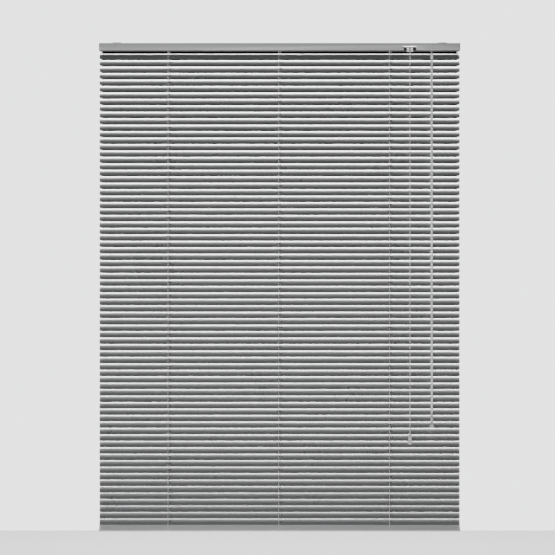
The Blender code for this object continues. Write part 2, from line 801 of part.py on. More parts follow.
def make_outer_ladder(name, x, material):
    """A ladder that goes up from the bottom rail, over its drum and down the other side."""
    rungs = [rung_height(index) for index in range(CARRIER_COUNT)]
    top = RAIL_BOTTOM - SLAT_PITCH / 2
    shape = ladder_solid(rungs, top, ladder_foot(), x - LADDER_OFFSET, True)
    return add(name, shape, material)


def make_carrier(index, material):
    """The length of centre ladder between one carried slat and the next."""
    top, bottom = carrier_ends(index)
    x = LADDERS["centre"] - LADDER_OFFSET
    shape = ladder_solid([rung_height(index)], top, bottom, x, False)
    name = f"ladder_centre_{index + 1:02d}"
    return add(name, shape, material, pivot=(x, 0, carrier_slat_z(index)))


def make_ladder_foot(material):
    """The last length of centre ladder, down to the bottom rail."""
    top = carrier_ends(CARRIER_COUNT - 1)[1] - GAP
    x = LADDERS["centre"] - LADDER_OFFSET
    shape = ladder_solid([LAST_SLAT_Z + SLAT_PITCH], top, ladder_foot(), x, False)
    return add("ladder_centre_foot", shape, material, pivot=(x, 0, BOTTOM_Z))


def make_lift_cord(name, x, lane, material):
    """A lift cord: up through the slats, into the rail and along its floor to the lock."""
    cord_x = x + CORD_OFFSET
    floor_z = RAIL_FLOOR + GAP + LIFT_CORD / 2
    over_z = floor_z + CHEEK + LIFT_CORD
    run_z = floor_z + lane * (LIFT_CORD + GAP)
    lane_y = RAIL_WALL + GAP - RAIL_HALF + LIFT_CORD / 2
    foot = BOTTOM_Z + BOTTOM_WIDTH / 2 * math.sin(REST_TILT)
    inlet = LOCK_X - LOCK_OPENING / 2 + 3 * RUN_GAP - GAP
    rise = straight((cord_x, LIFT_CORD_Y, foot), (cord_x, LIFT_CORD_Y, RAIL_BOTTOM - 0.004), 3)
    bend = [
        Vector((cord_x, LIFT_CORD_Y, RAIL_BOTTOM - 0.001)),
        Vector((cord_x + 0.0002, LIFT_CORD_Y, over_z - 0.0022)),
        Vector((cord_x + 0.0012, LIFT_CORD_Y - 0.0004, over_z - 0.0007)),
        Vector((cord_x + 0.0030, LIFT_CORD_Y - 0.0012, over_z)),
        Vector((cord_x + 0.0060, lane_y * 0.40, over_z - 0.0002)),
        Vector((cord_x + 0.0100, lane_y * 0.75, (over_z + run_z) / 2)),
        Vector((cord_x + 0.0150, lane_y * 0.97, run_z)),
    ]
    run = straight((cord_x + 0.020, lane_y, run_z), (inlet, lane_y, run_z), 3)
    return cord(name, rise + bend + run, LIFT_CORD, material)


# Slats


def slat_height(across):
    """Height of the slat's middle surface over its axis, at a distance across it."""
    share = across / (SLAT_WIDTH / 2)
    return SLAT_CROWN * (1 / 3 - share * share)


def slat_outline(width):
    """The slat's section at a given width: a thin crowned strip, closed tilt, axis at 0."""
    steps = 4
    half = width / 2 / (SLAT_WIDTH / 2)
    shares = [half * (2 * i / steps - 1) for i in range(steps + 1)]
    across = [share * SLAT_WIDTH / 2 for share in shares]
    under = [(u, slat_height(u) - SLAT_GAUGE / 2) for u in across]
    over = [(u, slat_height(u) + SLAT_GAUGE / 2) for u in reversed(across)]
    return tilted(under + over, 0)


def slat_shape():
    """The whole slat: full width, narrowing round its corners at both ends."""
    end = BLIND_WIDTH / 2 - SLAT_INSET
    rings = []
    steps = 3
    for side in (-1, 1):
        ring_set = []
        for i in range(steps + 1):
            turn = math.pi / 2 * i / steps
            x = end - SLAT_CORNER * (1 - math.sin(turn))
            width = SLAT_WIDTH - 2 * SLAT_CORNER * (1 - math.cos(turn))
            ring_set.append([(side * x, y, z) for y, z in slat_outline(width)])
        rings += ring_set[::-1] if side < 0 else ring_set
    return loft(rings)


def route_cutter(x):
    """A round-ended slot through the closed slat, at right angles to it."""
    radius, reach = ROUTE_WIDTH / 2, ROUTE_LENGTH / 2 - ROUTE_WIDTH / 2
    outline = []
    for side in (1, -1):
        for i in range(5):
            turn = math.pi * i / 4 - math.pi / 2
            outline.append((x + side * (reach + radius * math.cos(turn)), side * radius * math.sin(turn)))
    turn = Matrix.Rotation(REST_TILT, 4, "X")
    rings = []
    for height in (-2 * SLAT_CROWN, 2 * SLAT_CROWN):
        rings.append([turn @ Vector((a, b, height)) for a, b in outline])
    return loft(rings)


def make_slats(material):
    """One slat mesh, shared by every carried slat."""
    first = add("slat_01", slat_shape(), material)
    cut(first, *[route_cutter(x) for x in LADDERS.values()])
    first.location.z = carrier_slat_z(0)
    for index in range(1, CARRIER_COUNT):
        slat = bpy.data.objects.new(f"slat_{index + 1:02d}", first.data)
        slat.location.z = carrier_slat_z(index)
        bpy.context.scene.collection.objects.link(slat)


# Bottom rail


def bottom_outline(spare):
    """The bottom rail's section, as a (across, up) outline drawn in by some spare."""
    half, tall = BOTTOM_WIDTH / 2, BOTTOM_HEIGHT / 2
    corner = 0.002
    half, tall = half - spare, tall - spare
    corner = max(corner - spare, corner / 4)
    step = corner * (1 - math.cos(math.pi / 4))
    quarter = [(half - corner, tall), (half - step, tall - step), (half, tall - corner)]
    right = quarter[::-1]
    lower = [(u, -h) for u, h in quarter]
    return lower + right + [(-u, h) for u, h in quarter] + [(-u, h) for u, h in reversed(lower)]


def plug_frame(x):
    """Local Z out of the bottom rail's underside, at the rail's axis."""
    down = Matrix.Rotation(REST_TILT, 4, "X") @ Matrix.Rotation(math.pi, 4, "X")
    return Matrix.Translation((x, 0, BOTTOM_Z)) @ down


def make_bottom_rail(material):
    """A closed sheet-metal tube with a hole in its underside for each plug."""
    outer = tilted(bottom_outline(0), BOTTOM_Z)
    inner = tilted(bottom_outline(BOTTOM_WALL), BOTTOM_Z)
    pivot = (0, 0, BOTTOM_Z)
    rail = add("bottom_rail", along_x(outer, -RAIL_END, RAIL_END), material, pivot=pivot)
    cut(rail, along_x(inner, -BLIND_WIDTH, BLIND_WIDTH))
    hole = PLUG_STEM + GAP
    for x in LADDERS.values():
        cut(rail, turned([(hole, BOTTOM_HEIGHT / 4), (hole, BOTTOM_HEIGHT)], 12, plug_frame(x)))
    return rail


def make_bottom_cap(name, side, material):
    plate = tilted(bottom_outline(0), BOTTOM_Z)
    plug = tilted(bottom_outline(BOTTOM_WALL + GAP), BOTTOM_Z)
    cap = end_cap(name, side, plate, plug, RAIL_END, material)
    return cap


def make_plug(name, x, material):
    """A round button that holds the ladder and the lift cord's knot in the bottom rail."""
    seat = BOTTOM_HEIGHT / 2 + GAP
    profile = [
        (PLUG_STEM, seat - PLUG_DEPTH),
        (PLUG_STEM, seat),
        (PLUG_FLANGE, seat),
        (PLUG_FLANGE, seat + PLUG_GAUGE / 2),
        (PLUG_FLANGE * 0.85, seat + PLUG_GAUGE),
    ]
    return add(name, turned(profile, 16, plug_frame(x)), material, pivot=(x, 0, BOTTOM_Z))


def build():
    for thing in list(bpy.data.objects):
        bpy.data.objects.remove(thing, do_unlink=True)

    make_head_rail(finish("rail steel", (0.36, 0.36, 0.37), 0.45, 0.8))
    moulding = finish("grey moulding", (0.42, 0.42, 0.42), 0.5, 0.0)
    plate = finish("plated steel", (0.60, 0.60, 0.58), 0.35, 1.0)
    lever = finish("lever steel", (0.66, 0.66, 0.65), 0.3, 1.0)
    white = finish("white moulding", (0.82, 0.82, 0.80), 0.45, 0.0)
    for word, side in (("left", -1), ("right", 1)):
        make_head_cap(f"head_cap_{word}", side, moulding)
        x = side * (BLIND_WIDTH / 2 - BRACKET_INSET)
        make_bracket(f"bracket_{word}", x, plate)
        make_lever(f"bracket_lever_{word}", x, lever)

    make_tilt_rod(finish("rod steel", (0.55, 0.55, 0.56), 0.3, 1.0))
    for word, x in LADDERS.items():
        make_drum(f"tilt_drum_{word}", x, white)
        make_cradle(f"drum_cradle_{word}", x, moulding)

    make_gear(finish("gear moulding", (0.75, 0.74, 0.70), 0.5, 0.0))
    make_worm(finish("worm moulding", (0.80, 0.80, 0.78), 0.45, 0.0))
    make_tilter_housing(white)
    make_wand_hook(finish("hook wire", (0.7, 0.7, 0.7), 0.25, 1.0))
    acrylic = finish("clear acrylic", (0.85, 0.86, 0.86), 0.1, 0.0)
    make_wand_sleeve(acrylic)
    make_wand(acrylic)
    make_grip(finish("grip moulding", (0.80, 0.80, 0.80), 0.25, 0.0))

    make_cord_lock(white)
    make_roller(finish("roller brass", (0.6, 0.52, 0.35), 0.4, 1.0))
    string = finish("braided cord", (0.62, 0.62, 0.60), 0.85, 0.0)
    make_pull_cord(string)
    make_tassel(finish("tassel moulding", (0.66, 0.66, 0.66), 0.35, 0.0))

    ladder = finish("ladder string", (0.60, 0.60, 0.59), 0.85, 0.0)
    for word in ("left", "right"):
        make_outer_ladder(f"ladder_{word}", LADDERS[word], ladder)
    for index in range(CARRIER_COUNT):
        make_carrier(index, ladder)
    make_ladder_foot(ladder)
    for lane, (word, x) in enumerate(LADDERS.items()):
        make_lift_cord(f"lift_cord_{word}", x, lane, string)

    make_slats(finish("slat aluminium", (0.45, 0.45, 0.46), 0.3, 0.9))

    make_bottom_rail(finish("bottom rail steel", (0.40, 0.40, 0.41), 0.4, 0.8))
    for word, side in (("left", -1), ("right", 1)):
        make_bottom_cap(f"bottom_cap_{word}", side, moulding)
    for word, x in LADDERS.items():
        make_plug(f"bottom_plug_{word}", x, moulding)


build()
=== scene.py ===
"""A 25 mm aluminium venetian blind, lowered and closed, hung from the head of a window recess.

The file follows the blind as it is put together: the pull cord and its tassel, the slats, the
ladders that carry them, the lift cords, the head rail and what is in it, the tilter with its
wand, the cord lock and the bottom rail. Metres, +Z up, the room on the -Y side.
"""

import json
import math

import bmesh
import bpy
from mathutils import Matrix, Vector


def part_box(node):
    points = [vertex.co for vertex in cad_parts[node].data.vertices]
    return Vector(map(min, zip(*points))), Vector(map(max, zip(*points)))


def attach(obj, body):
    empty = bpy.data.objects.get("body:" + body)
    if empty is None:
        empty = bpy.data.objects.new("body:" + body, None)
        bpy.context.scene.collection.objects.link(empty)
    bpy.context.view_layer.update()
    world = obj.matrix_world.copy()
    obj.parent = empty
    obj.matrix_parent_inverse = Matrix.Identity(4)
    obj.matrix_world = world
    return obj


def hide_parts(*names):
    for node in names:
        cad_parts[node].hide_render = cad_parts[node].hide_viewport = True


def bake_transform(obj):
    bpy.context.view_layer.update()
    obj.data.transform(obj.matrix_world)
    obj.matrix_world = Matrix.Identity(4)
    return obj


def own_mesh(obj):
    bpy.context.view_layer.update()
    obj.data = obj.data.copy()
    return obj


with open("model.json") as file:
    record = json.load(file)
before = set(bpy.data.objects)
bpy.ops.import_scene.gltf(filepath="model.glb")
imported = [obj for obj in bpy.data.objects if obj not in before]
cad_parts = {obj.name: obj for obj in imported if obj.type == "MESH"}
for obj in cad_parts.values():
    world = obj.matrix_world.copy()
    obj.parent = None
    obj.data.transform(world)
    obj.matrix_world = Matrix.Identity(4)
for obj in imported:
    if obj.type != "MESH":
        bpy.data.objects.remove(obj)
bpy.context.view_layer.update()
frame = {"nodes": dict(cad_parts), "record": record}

# ---------------------------------------------------------------------------------------------
# Camera, floor and studio light. The camera looks square at the blind from the room. A long
# soft light over and behind the blind falls on the back of each slat, as daylight over the top
# of a window does. A dimmer one in front fills the room side, and a third lights the floor.

view_width = 1.8465
view_centre = Vector((-0.007, 0, -0.7807))
view_distance = 4.6
sensor = 36.0
floor_z = -2.78
floor_back = 6.33  # its far edge is hidden behind the bottom rail


def link(name, data):
    """Put a mesh, camera or light in the scene."""
    thing = bpy.data.objects.new(name, data)
    bpy.context.scene.collection.objects.link(thing)
    return thing


lens = bpy.data.cameras.new("room_camera")
lens.sensor_width = sensor
lens.lens = sensor * view_distance / view_width
lens.clip_end = 60
camera = link("room_camera", lens)
camera.location = view_centre - Vector((0, view_distance, 0))
camera.rotation_euler = (math.pi / 2, 0, 0)
bpy.context.scene.camera = camera


def soft_light(name, place, target, size, power, colour=(1, 1, 1)):
    """A rectangular light that faces a point."""
    data = bpy.data.lights.new(name, "AREA")
    data.shape = "RECTANGLE"
    data.size, data.size_y = size
    data.energy = power
    data.color = colour
    thing = link(name, data)
    thing.location = place
    thing.rotation_euler = (Vector(target) - Vector(place)).to_track_quat("-Z", "Y").to_euler()


soft_light("over_and_behind", (0, 1.05, 2.1), (0, 0, -0.9), (4.2, 0.9), 480)
soft_light("room_front", (-0.7, -4.4, -0.55), (0, 0, -0.8), (2.8, 0.9), 104)
soft_light("floor_wash", (0, 5.6, 0.6), (0, 5.6, floor_z), (12.0, 3.0), 520)


def node(tree, kind, values=None, **settings):
    """Add a node, set its properties, then fill its sockets with numbers or other sockets."""
    made = tree.nodes.new(kind)
    for key, value in settings.items():
        setattr(made, key, value)
    for key, value in (values or {}).items():
        if isinstance(value, bpy.types.NodeSocket):
            tree.links.new(value, made.inputs[key])
        else:
            made.inputs[key].default_value = value
    return made


def sums(tree, operation, first, second=None, third=None):
    """One Math node, and its value."""
    values = {0: first}
    if second is not None:
        values[1] = second
    if third is not None:
        values[2] = third
    return node(tree, "ShaderNodeMath", values, operation=operation).outputs[0]


def ranged(tree, value, low, high, first=0.0, second=1.0):
    """A value between low and high, as one between first and second."""
    values = {"Value": value, 1: low, 2: high, 3: first, 4: second}
    return node(tree, "ShaderNodeMapRange", values).outputs[0]


def two_colours(tree, share, first, second):
    """The first colour where a mask is 0, the second where it is 1."""
    values = {0: share, 6: (*first, 1), 7: (*second, 1)}
    return node(tree, "ShaderNodeMix", values, data_type="RGBA").outputs[2]


def painted(name, colour, roughness, metallic=0.0, **more):
    """A material whose Principled shader has these constants; its patterns are linked to it."""
    made = bpy.data.materials.new(name)
    made.use_nodes = True
    shader = made.node_tree.nodes["Principled BSDF"]
    shader.inputs["Base Color"].default_value = (*colour, 1)
    shader.inputs["Roughness"].default_value = roughness
    shader.inputs["Metallic"].default_value = metallic
    for key, value in more.items():
        shader.inputs[key.replace("_", " ")].default_value = value
    made.diffuse_color = (*colour, 1)
    return made, made.node_tree, shader


def mesh_piece(name, points, faces, material, smooth=35):
    """A piece from points and faces in their places, with its faces turned outwards."""
    mesh = bpy.data.meshes.new(name)
    mesh.from_pydata([tuple(p) for p in points], [], faces)
    form = bmesh.new()
    form.from_mesh(mesh)
    bmesh.ops.remove_doubles(form, verts=form.verts, dist=1e-6)
    bmesh.ops.recalc_face_normals(form, faces=form.faces)
    form.to_mesh(mesh)
    form.free()
    mesh.materials.append(material)
    mesh.shade_smooth()
    mesh.set_sharp_from_angle(angle=math.radians(smooth))
    return link(name, mesh)


# the surroundings: pale walls, dim as a light, with a dark window where the blind hides it
backdrop_grey = (0.80, 0.81, 0.82)
window_dark = (0.0006, 0.0006, 0.0007)
window_low, window_high = -0.1835, 0.1675  # slopes of the sight lines to its edges
window_half, window_middle = 0.1299, 0.0015
wall_glow, wall_light = 3.6, 0.06  # what the camera sees, and what falls on the blind
world = bpy.data.worlds.new("studio")
bpy.context.scene.world = world
world.use_nodes = True
sky = world.node_tree
way = node(sky, "ShaderNodeSeparateXYZ", {0: node(sky, "ShaderNodeTexCoord").outputs["Generated"]})
ahead = sums(sky, "MAXIMUM", way.outputs["Y"], 0.01)
across = sums(sky, "SUBTRACT", sums(sky, "DIVIDE", way.outputs["X"], ahead), window_middle)
across = sums(sky, "ABSOLUTE", across)
up = sums(sky, "DIVIDE", way.outputs["Z"], ahead)
inside = [
    ranged(sky, value, edge, edge + step)
    for value, edge, step in (
        (across, window_half, -0.002),
        (up, window_high, -0.001),
        (up, window_low, 0.002),
        (way.outputs["Y"], 0.0, 0.1),
    )
]
hidden = inside[0]
for part in inside[1:]:
    hidden = sums(sky, "MULTIPLY", hidden, part)
seen = node(sky, "ShaderNodeLightPath").outputs["Is Camera Ray"]
back = sky.nodes["Background"]
sky.links.new(two_colours(sky, hidden, backdrop_grey, window_dark), back.inputs["Color"])
sky.links.new(ranged(sky, seen, 0.0, 1.0, wall_light, wall_glow), back.inputs["Strength"])

floor_paint, tree, shader = painted("floor_paint", (0.80, 0.80, 0.79), 0.7, Emission_Strength=0.25)
grain = node(tree, "ShaderNodeTexNoise", {"Scale": 40.0, "Detail": 4.0})
bump = node(tree, "ShaderNodeBump", {"Strength": 0.04, "Height": grain.outputs["Fac"]})
tree.links.new(bump.outputs["Normal"], shader.inputs["Normal"])
floor = mesh_piece(
    "studio_floor",
    [(-9, -9, floor_z), (9, -9, floor_z), (9, floor_back, floor_z), (-9, floor_back, floor_z)],
    [(0, 1, 2, 3)],
    floor_paint,
)

# ---------------------------------------------------------------------------------------------
# Pull cord. Braided polyester, 2.4 mm thick, standing for the three lift cords that leave the
# lock together. It hangs straight from the lock's throat to the tassel's mouth.

cord_diameter = 0.0024
cord_length = 1.262
cord_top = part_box("pull_cord")[1].z
cord_x = sum(c.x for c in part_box("pull_cord")) / 2
cord_y = sum(c.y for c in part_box("pull_cord")) / 2
cord_plait = 0.0052


def group(name, kind, inputs, outputs):
    """An empty node group with its sockets and its two end nodes."""
    made = bpy.data.node_groups.new(name, kind)
    for label, socket, value in inputs:
        entry = made.interface.new_socket(label, in_out="INPUT", socket_type=socket)
        if value is not None:
            entry.default_value = value
    for label, socket in outputs:
        made.interface.new_socket(label, in_out="OUTPUT", socket_type=socket)
    return made, made.nodes.new("NodeGroupInput"), made.nodes.new("NodeGroupOutput")


# plait: two sets of strands that wind opposite ways round an upright cord
tree, given, result = group(
    "plait",
    "ShaderNodeTree",
    [
        ("Lay", "NodeSocketFloat", 0.005),
        ("Strands", "NodeSocketFloat", 4.0),
        ("Wear", "NodeSocketFloat", 0.2),
    ],
    [("Strand", "NodeSocketFloat"), ("Shade", "NodeSocketFloat")],
)
plait = tree
place = node(tree, "ShaderNodeTexCoord").outputs["Object"]
normal = node(tree, "ShaderNodeNewGeometry").outputs["Normal"]
spot = node(tree, "ShaderNodeSeparateXYZ", {0: place})
facing = node(tree, "ShaderNodeSeparateXYZ", {0: normal})
around = sums(tree, "ARCTAN2", facing.outputs["Y"], facing.outputs["X"])
around = sums(tree, "MULTIPLY", around, given.outputs["Strands"])
along = sums(tree, "DIVIDE", spot.outputs["Z"], given.outputs["Lay"])
along = sums(tree, "MULTIPLY", along, 2 * math.pi)
right = sums(tree, "SINE", sums(tree, "ADD", around, along))
left = sums(tree, "SINE", sums(tree, "SUBTRACT", around, along))
strand = sums(tree, "MAXIMUM", right, left)
fuzz = node(tree, "ShaderNodeTexNoise", {"Vector": place, "Scale": 900.0, "Detail": 3.0})
worn = sums(tree, "MULTIPLY", fuzz.outputs["Fac"], given.outputs["Wear"])
tree.links.new(sums(tree, "ADD", strand, worn), result.inputs["Strand"])
# Shade: the colour darkens between the strands, painted shade in the braid's grooves; the fuzz then
# darkens it at random, as wear
shade = ranged(tree, strand, -0.4, 1.0, 0.55, 1.0)
tree.links.new(sums(tree, "SUBTRACT", shade, worn), result.inputs["Shade"])


def relief(tree, shader, height, depth, strength):
    """Raise a surface by a pattern."""
    bump = node(tree, "ShaderNodeBump", {"Strength": strength, "Distance": depth, "Height": height})
    tree.links.new(bump.outputs["Normal"], shader.inputs["Normal"])


def cord_material(name, pale, dark, lay, strands, depth):
    """Polyester cord: plaited shade and bump over a dull thread."""
    made, tree, shader = painted(name, pale, 0.82, Sheen_Weight=0.25, Sheen_Roughness=0.5)
    braid = node(tree, "ShaderNodeGroup", node_tree=plait)
    braid.inputs["Lay"].default_value = lay
    braid.inputs["Strands"].default_value = strands
    # dark colour in the braid's grooves from the Shade output: painted shade
    tree.links.new(two_colours(tree, braid.outputs["Shade"], dark, pale), shader.inputs["Base Color"])
    relief(tree, shader, braid.outputs["Strand"], depth, 0.8)
    return made


pull_braid = cord_material(
    "pull_cord_braid", (0.86, 0.86, 0.84), (0.50, 0.50, 0.48), cord_plait, 4.0, 0.0003
)


def tube(path, radius, sides, swell=0.0, lay=0.005, phase=0.0):
    """A closed tube on a path, its section lightly lobed along a helix so that it looks laid."""
    points, faces = [], []
    path = [Vector(p) for p in path]
    travelled = 0.0
    side = Vector((1, 0, 0))
    for i, place in enumerate(path):
        ahead = (path[min(i + 1, len(path) - 1)] - path[max(i - 1, 0)]).normalized()
        side = (side - ahead * side.dot(ahead)).normalized()
        other = ahead.cross(side)
        if i:
            travelled += (place - path[i - 1]).length
        for s in range(sides):
            turn = 2 * math.pi * s / sides
            lobe = swell * math.cos(3 * turn + 2 * math.pi * travelled / lay + phase)
            reach = radius - swell + lobe
            points.append(place + side * reach * math.cos(turn) + other * reach * math.sin(turn))
    for i in range(len(path) - 1):
        for s in range(sides):
            t = (s + 1) % sides
            faces.append((i * sides + s, i * sides + t, (i + 1) * sides + t, (i + 1) * sides + s))
    last = (len(path) - 1) * sides
    faces.append(tuple(range(sides))[::-1])
    faces.append(tuple(range(last, last + sides)))
    return points, faces


def straight(start, end, step):
    """Points from start to end, about one step apart."""
    start, end = Vector(start), Vector(end)
    count = max(2, round((end - start).length / step) + 1)
    return [start.lerp(end, i / (count - 1)) for i in range(count)]


cord_path = straight((cord_x, cord_y, cord_top), (cord_x, cord_y, cord_top - cord_length), 0.0016)
pull_cord = mesh_piece(
    "braided_pull_cord", *tube(cord_path, cord_diameter / 2, 12, 0.00012, cord_plait), pull_braid, 80
)

# ---------------------------------------------------------------------------------------------
# Tassel. A moulded plastic acorn on the end of the pull cord: a narrow neck with a lipped mouth,
# a body that widens downwards, and an open foot where the cord's knot sits.

tassel_low, tassel_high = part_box("cord_tassel")
tassel_top, tassel_foot = tassel_high.z, tassel_low.z
tassel_radius = (tassel_high.x - tassel_low.x) / 2


def turned(profile, x, y, sides=40):
    """Turn (radius, height) steps round an upright axis into a closed body."""
    points, faces = [], []
    for radius, height in profile:
        for s in range(sides):
            turn = 2 * math.pi * s / sides
            points.append((x + radius * math.cos(turn), y + radius * math.sin(turn), height))
    for i in range(len(profile) - 1):
        for s in range(sides):
            t = (s + 1) % sides
            faces.append((i * sides + s, i * sides + t, (i + 1) * sides + t, (i + 1) * sides + s))
    last = (len(profile) - 1) * sides
    faces.append(tuple(range(sides))[::-1])
    faces.append(tuple(range(last, last + sides)))
    return points, faces


# moulded_skin: the faint orange peel, sink and dust of a moulded or sprayed surface
tree, given, result = group(
    "moulded_skin",
    "ShaderNodeTree",
    [
        ("Grain", "NodeSocketFloat", 900.0),
        ("Roughness", "NodeSocketFloat", 0.4),
        ("Spread", "NodeSocketFloat", 0.1),
        ("Colour", "NodeSocketColor", (0.5, 0.5, 0.5, 1)),
        ("Dust", "NodeSocketFloat", 0.06),
    ],
    [("Height", "NodeSocketFloat"), ("Roughness", "NodeSocketFloat"), ("Colour", "NodeSocketColor")],
)
moulded_skin = tree
place = node(tree, "ShaderNodeTexCoord").outputs["Object"]
fine = {"Vector": place, "Scale": given.outputs["Grain"], "Detail": 3.0}
peel = node(tree, "ShaderNodeTexNoise", fine)
cloud = node(tree, "ShaderNodeTexNoise", {"Vector": place, "Scale": 28.0, "Detail": 5.0})
facing = node(tree, "ShaderNodeNewGeometry").outputs["Normal"]
upward = node(tree, "ShaderNodeSeparateXYZ", {0: facing}).outputs["Z"]
dusty = sums(tree, "MULTIPLY", ranged(tree, upward, 0.2, 1.0), cloud.outputs["Fac"])
dusty = sums(tree, "MULTIPLY", dusty, given.outputs["Dust"])
drift = sums(tree, "SUBTRACT", cloud.outputs["Fac"], 0.5)
rough = sums(tree, "MULTIPLY_ADD", drift, given.outputs["Spread"], given.outputs["Roughness"])
tinted = node(
    tree,
    "ShaderNodeMix",
    {0: dusty, 6: given.outputs["Colour"], 7: (0.72, 0.70, 0.66, 1)},
    data_type="RGBA",
)
tree.links.new(peel.outputs["Fac"], result.inputs["Height"])
tree.links.new(sums(tree, "ADD", rough, dusty), result.inputs["Roughness"])
tree.links.new(tinted.outputs[2], result.inputs["Colour"])


def skinned(name, colour, roughness, grain, depth, spread=0.12, dust=0.08, metallic=0.0, **more):
    """A moulded, sprayed or plated finish built on the moulded_skin group."""
    made, tree, shader = painted(name, colour, roughness, metallic, **more)
    skin = node(tree, "ShaderNodeGroup", node_tree=moulded_skin)
    for label, value in (
        ("Grain", grain),
        ("Roughness", roughness),
        ("Spread", spread),
        ("Colour", (*colour, 1)),
        ("Dust", dust),
    ):
        skin.inputs[label].default_value = value
    relief(tree, shader, skin.outputs["Height"], depth, 0.5)
    tree.links.new(skin.outputs["Roughness"], shader.inputs["Roughness"])
    tree.links.new(skin.outputs["Colour"], shader.inputs["Base Color"])
    return made


tassel_plastic = skinned("tassel_plastic", (0.60, 0.60, 0.60), 0.34, 700.0, 0.00005, Coat_Weight=0.15)
neck = tassel_radius * 0.70
profile = [
    (0.0016, tassel_foot + 0.0100),
    (tassel_radius - 0.0016, tassel_foot + 0.0080),
    (tassel_radius - 0.0012, tassel_foot + 0.0006),
    (tassel_radius - 0.0008, tassel_foot),
    (tassel_radius - 0.0002, tassel_foot + 0.0002),
    (tassel_radius, tassel_foot + 0.0009),
    (tassel_radius, tassel_foot + 0.0040),
    (tassel_radius - 0.0003, tassel_foot + 0.0090),
    (tassel_radius - 0.0008, tassel_foot + 0.0160),
    (neck + 0.0007, tassel_foot + 0.0230),
    (neck + 0.0002, tassel_foot + 0.0280),
    (neck, tassel_foot + 0.0310),
    (neck + 0.0005, tassel_foot + 0.0316),
    (neck + 0.0005, tassel_foot + 0.0334),
    (neck, tassel_foot + 0.0340),
    (neck - 0.0006, tassel_foot + 0.0356),
    (neck - 0.0018, tassel_foot + 0.0367),
    (0.0022, tassel_top),
    (0.0014, tassel_top - 0.0006),
    (0.0014, tassel_top - 0.0030),
]
tassel = mesh_piece("pull_cord_tassel", *turned(profile, cord_x, cord_y), tassel_plastic, 50)
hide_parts("cord_tassel")
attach(tassel, "tassel")

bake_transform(pull_cord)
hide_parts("pull_cord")

# ---------------------------------------------------------------------------------------------
# Slats. Seventy-three strips of 0.2 mm aluminium, rolled to a shallow crown, lacquered on both
# faces, clipped round at the ends and punched with a long hole at each ladder for the lift cord.

joints = {j["name"]: j for j in frame["record"]["behaviour"]["joints"]}
carried = sorted(name for name in joints if name.startswith("tilt_") and name[5:].isdigit())
slat_count = 73
slats_per_carrier = 7
first_carried = 4
slat_pitch = (joints["tilt_01"]["pos_m"][2] - joints["tilt_02"]["pos_m"][2]) / slats_per_carrier
first_slat_z = joints["tilt_01"]["pos_m"][2] + (first_carried - 1) * slat_pitch
slat_tilt = math.radians(52)
slat_width = 0.025
slat_crown = 0.0020
slat_gauge = 0.0002
slat_corner = 0.005
slat_half_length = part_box("slat_01")[1].x
ladder_x = [-0.368, 0.0, 0.368]
route_length, route_width = 0.014, 0.005
lacquer_grey = (0.25, 0.252, 0.257)

# rolled_lines: long faint lines that the rolling mill leaves along a strip
tree, given, result = group(
    "rolled_lines",
    "ShaderNodeTree",
    [("Across", "NodeSocketFloat", 900.0), ("Along", "NodeSocketFloat", 3.0)],
    [("Height", "NodeSocketFloat"), ("Cloud", "NodeSocketFloat")],
)
rolled_lines = tree
place = node(tree, "ShaderNodeTexCoord").outputs["Object"]
stretch = node(
    tree,
    "ShaderNodeCombineXYZ",
    {0: given.outputs["Along"], 1: given.outputs["Across"], 2: given.outputs["Across"]},
)
drawn = node(
    tree, "ShaderNodeVectorMath", {0: place, 1: stretch.outputs[0]}, operation="MULTIPLY"
)
lines = node(
    tree, "ShaderNodeTexNoise", {"Vector": drawn.outputs[0], "Scale": 1.0, "Detail": 3.0}
)
cloud = node(tree, "ShaderNodeTexNoise", {"Vector": place, "Scale": 6.0, "Detail": 4.0})
tree.links.new(lines.outputs["Fac"], result.inputs["Height"])
tree.links.new(cloud.outputs["Fac"], result.inputs["Cloud"])

lacquer, tree, shader = painted(
    "slat_lacquer", lacquer_grey, 0.36, 0.55, Coat_Weight=0.35, Coat_Roughness=0.16
)
mill = node(tree, "ShaderNodeGroup", node_tree=rolled_lines)
mill.inputs["Along"].default_value = 0.35
relief(tree, shader, mill.outputs["Height"], 0.00001, 0.10)
tree.links.new(ranged(tree, mill.outputs["Cloud"], 0.3, 0.7, 0.27, 0.295), shader.inputs["Roughness"])
skin = node(tree, "ShaderNodeGroup", node_tree=moulded_skin)
skin.inputs["Colour"].default_value = (*lacquer_grey, 1)
skin.inputs["Dust"].default_value = 0.04
tree.links.new(skin.outputs["Colour"], shader.inputs["Base Color"])


def crown(across):
    """Height of a slat's middle surface over its axis."""
    share = across / (slat_width / 2)
    return slat_crown * (1 / 3 - share * share)


def strip():
    """One flat-lying slat, before it is punched."""
    steps, corner_steps = 18, 8
    stations = []
    for side in (-1, 1):
        ends = []
        for i in range(corner_steps + 1):
            turn = math.pi / 2 * i / corner_steps
            x = slat_half_length - slat_corner * (1 - math.sin(turn))
            ends.append((side * x, slat_width - 2 * slat_corner * (1 - math.cos(turn))))
        stations += ends[::-1] if side < 0 else ends
    points, faces = [], []
    for x, width in stations:
        across = [width * (i / steps - 0.5) for i in range(steps + 1)]
        points += [(x, u, crown(u) - slat_gauge / 2) for u in across]
        points += [(x, u, crown(u) + slat_gauge / 2) for u in reversed(across)]
    ring = 2 * (steps + 1)
    for i in range(len(stations) - 1):
        for s in range(ring):
            t = (s + 1) % ring
            faces.append((i * ring + s, i * ring + t, (i + 1) * ring + t, (i + 1) * ring + s))
    last = (len(stations) - 1) * ring
    for base in (0, last):
        for s in range(steps):
            quad = (base + s, base + s + 1, base + ring - 2 - s, base + ring - 1 - s)
            faces.append(quad)
    return points, faces


def bake(thing, name, material=None):
    """The evaluated shape of a thing as a plain piece of its own; the thing is removed."""
    bpy.context.view_layer.update()
    mesh = bpy.data.meshes.new_from_object(thing.evaluated_get(bpy.context.evaluated_depsgraph_get()))
    mesh.name = name
    if material and not mesh.materials:
        mesh.materials.append(material)
    old = thing.data
    bpy.data.objects.remove(thing)
    if old.users == 0:
        bpy.data.meshes.remove(old)
    return link(name, mesh)


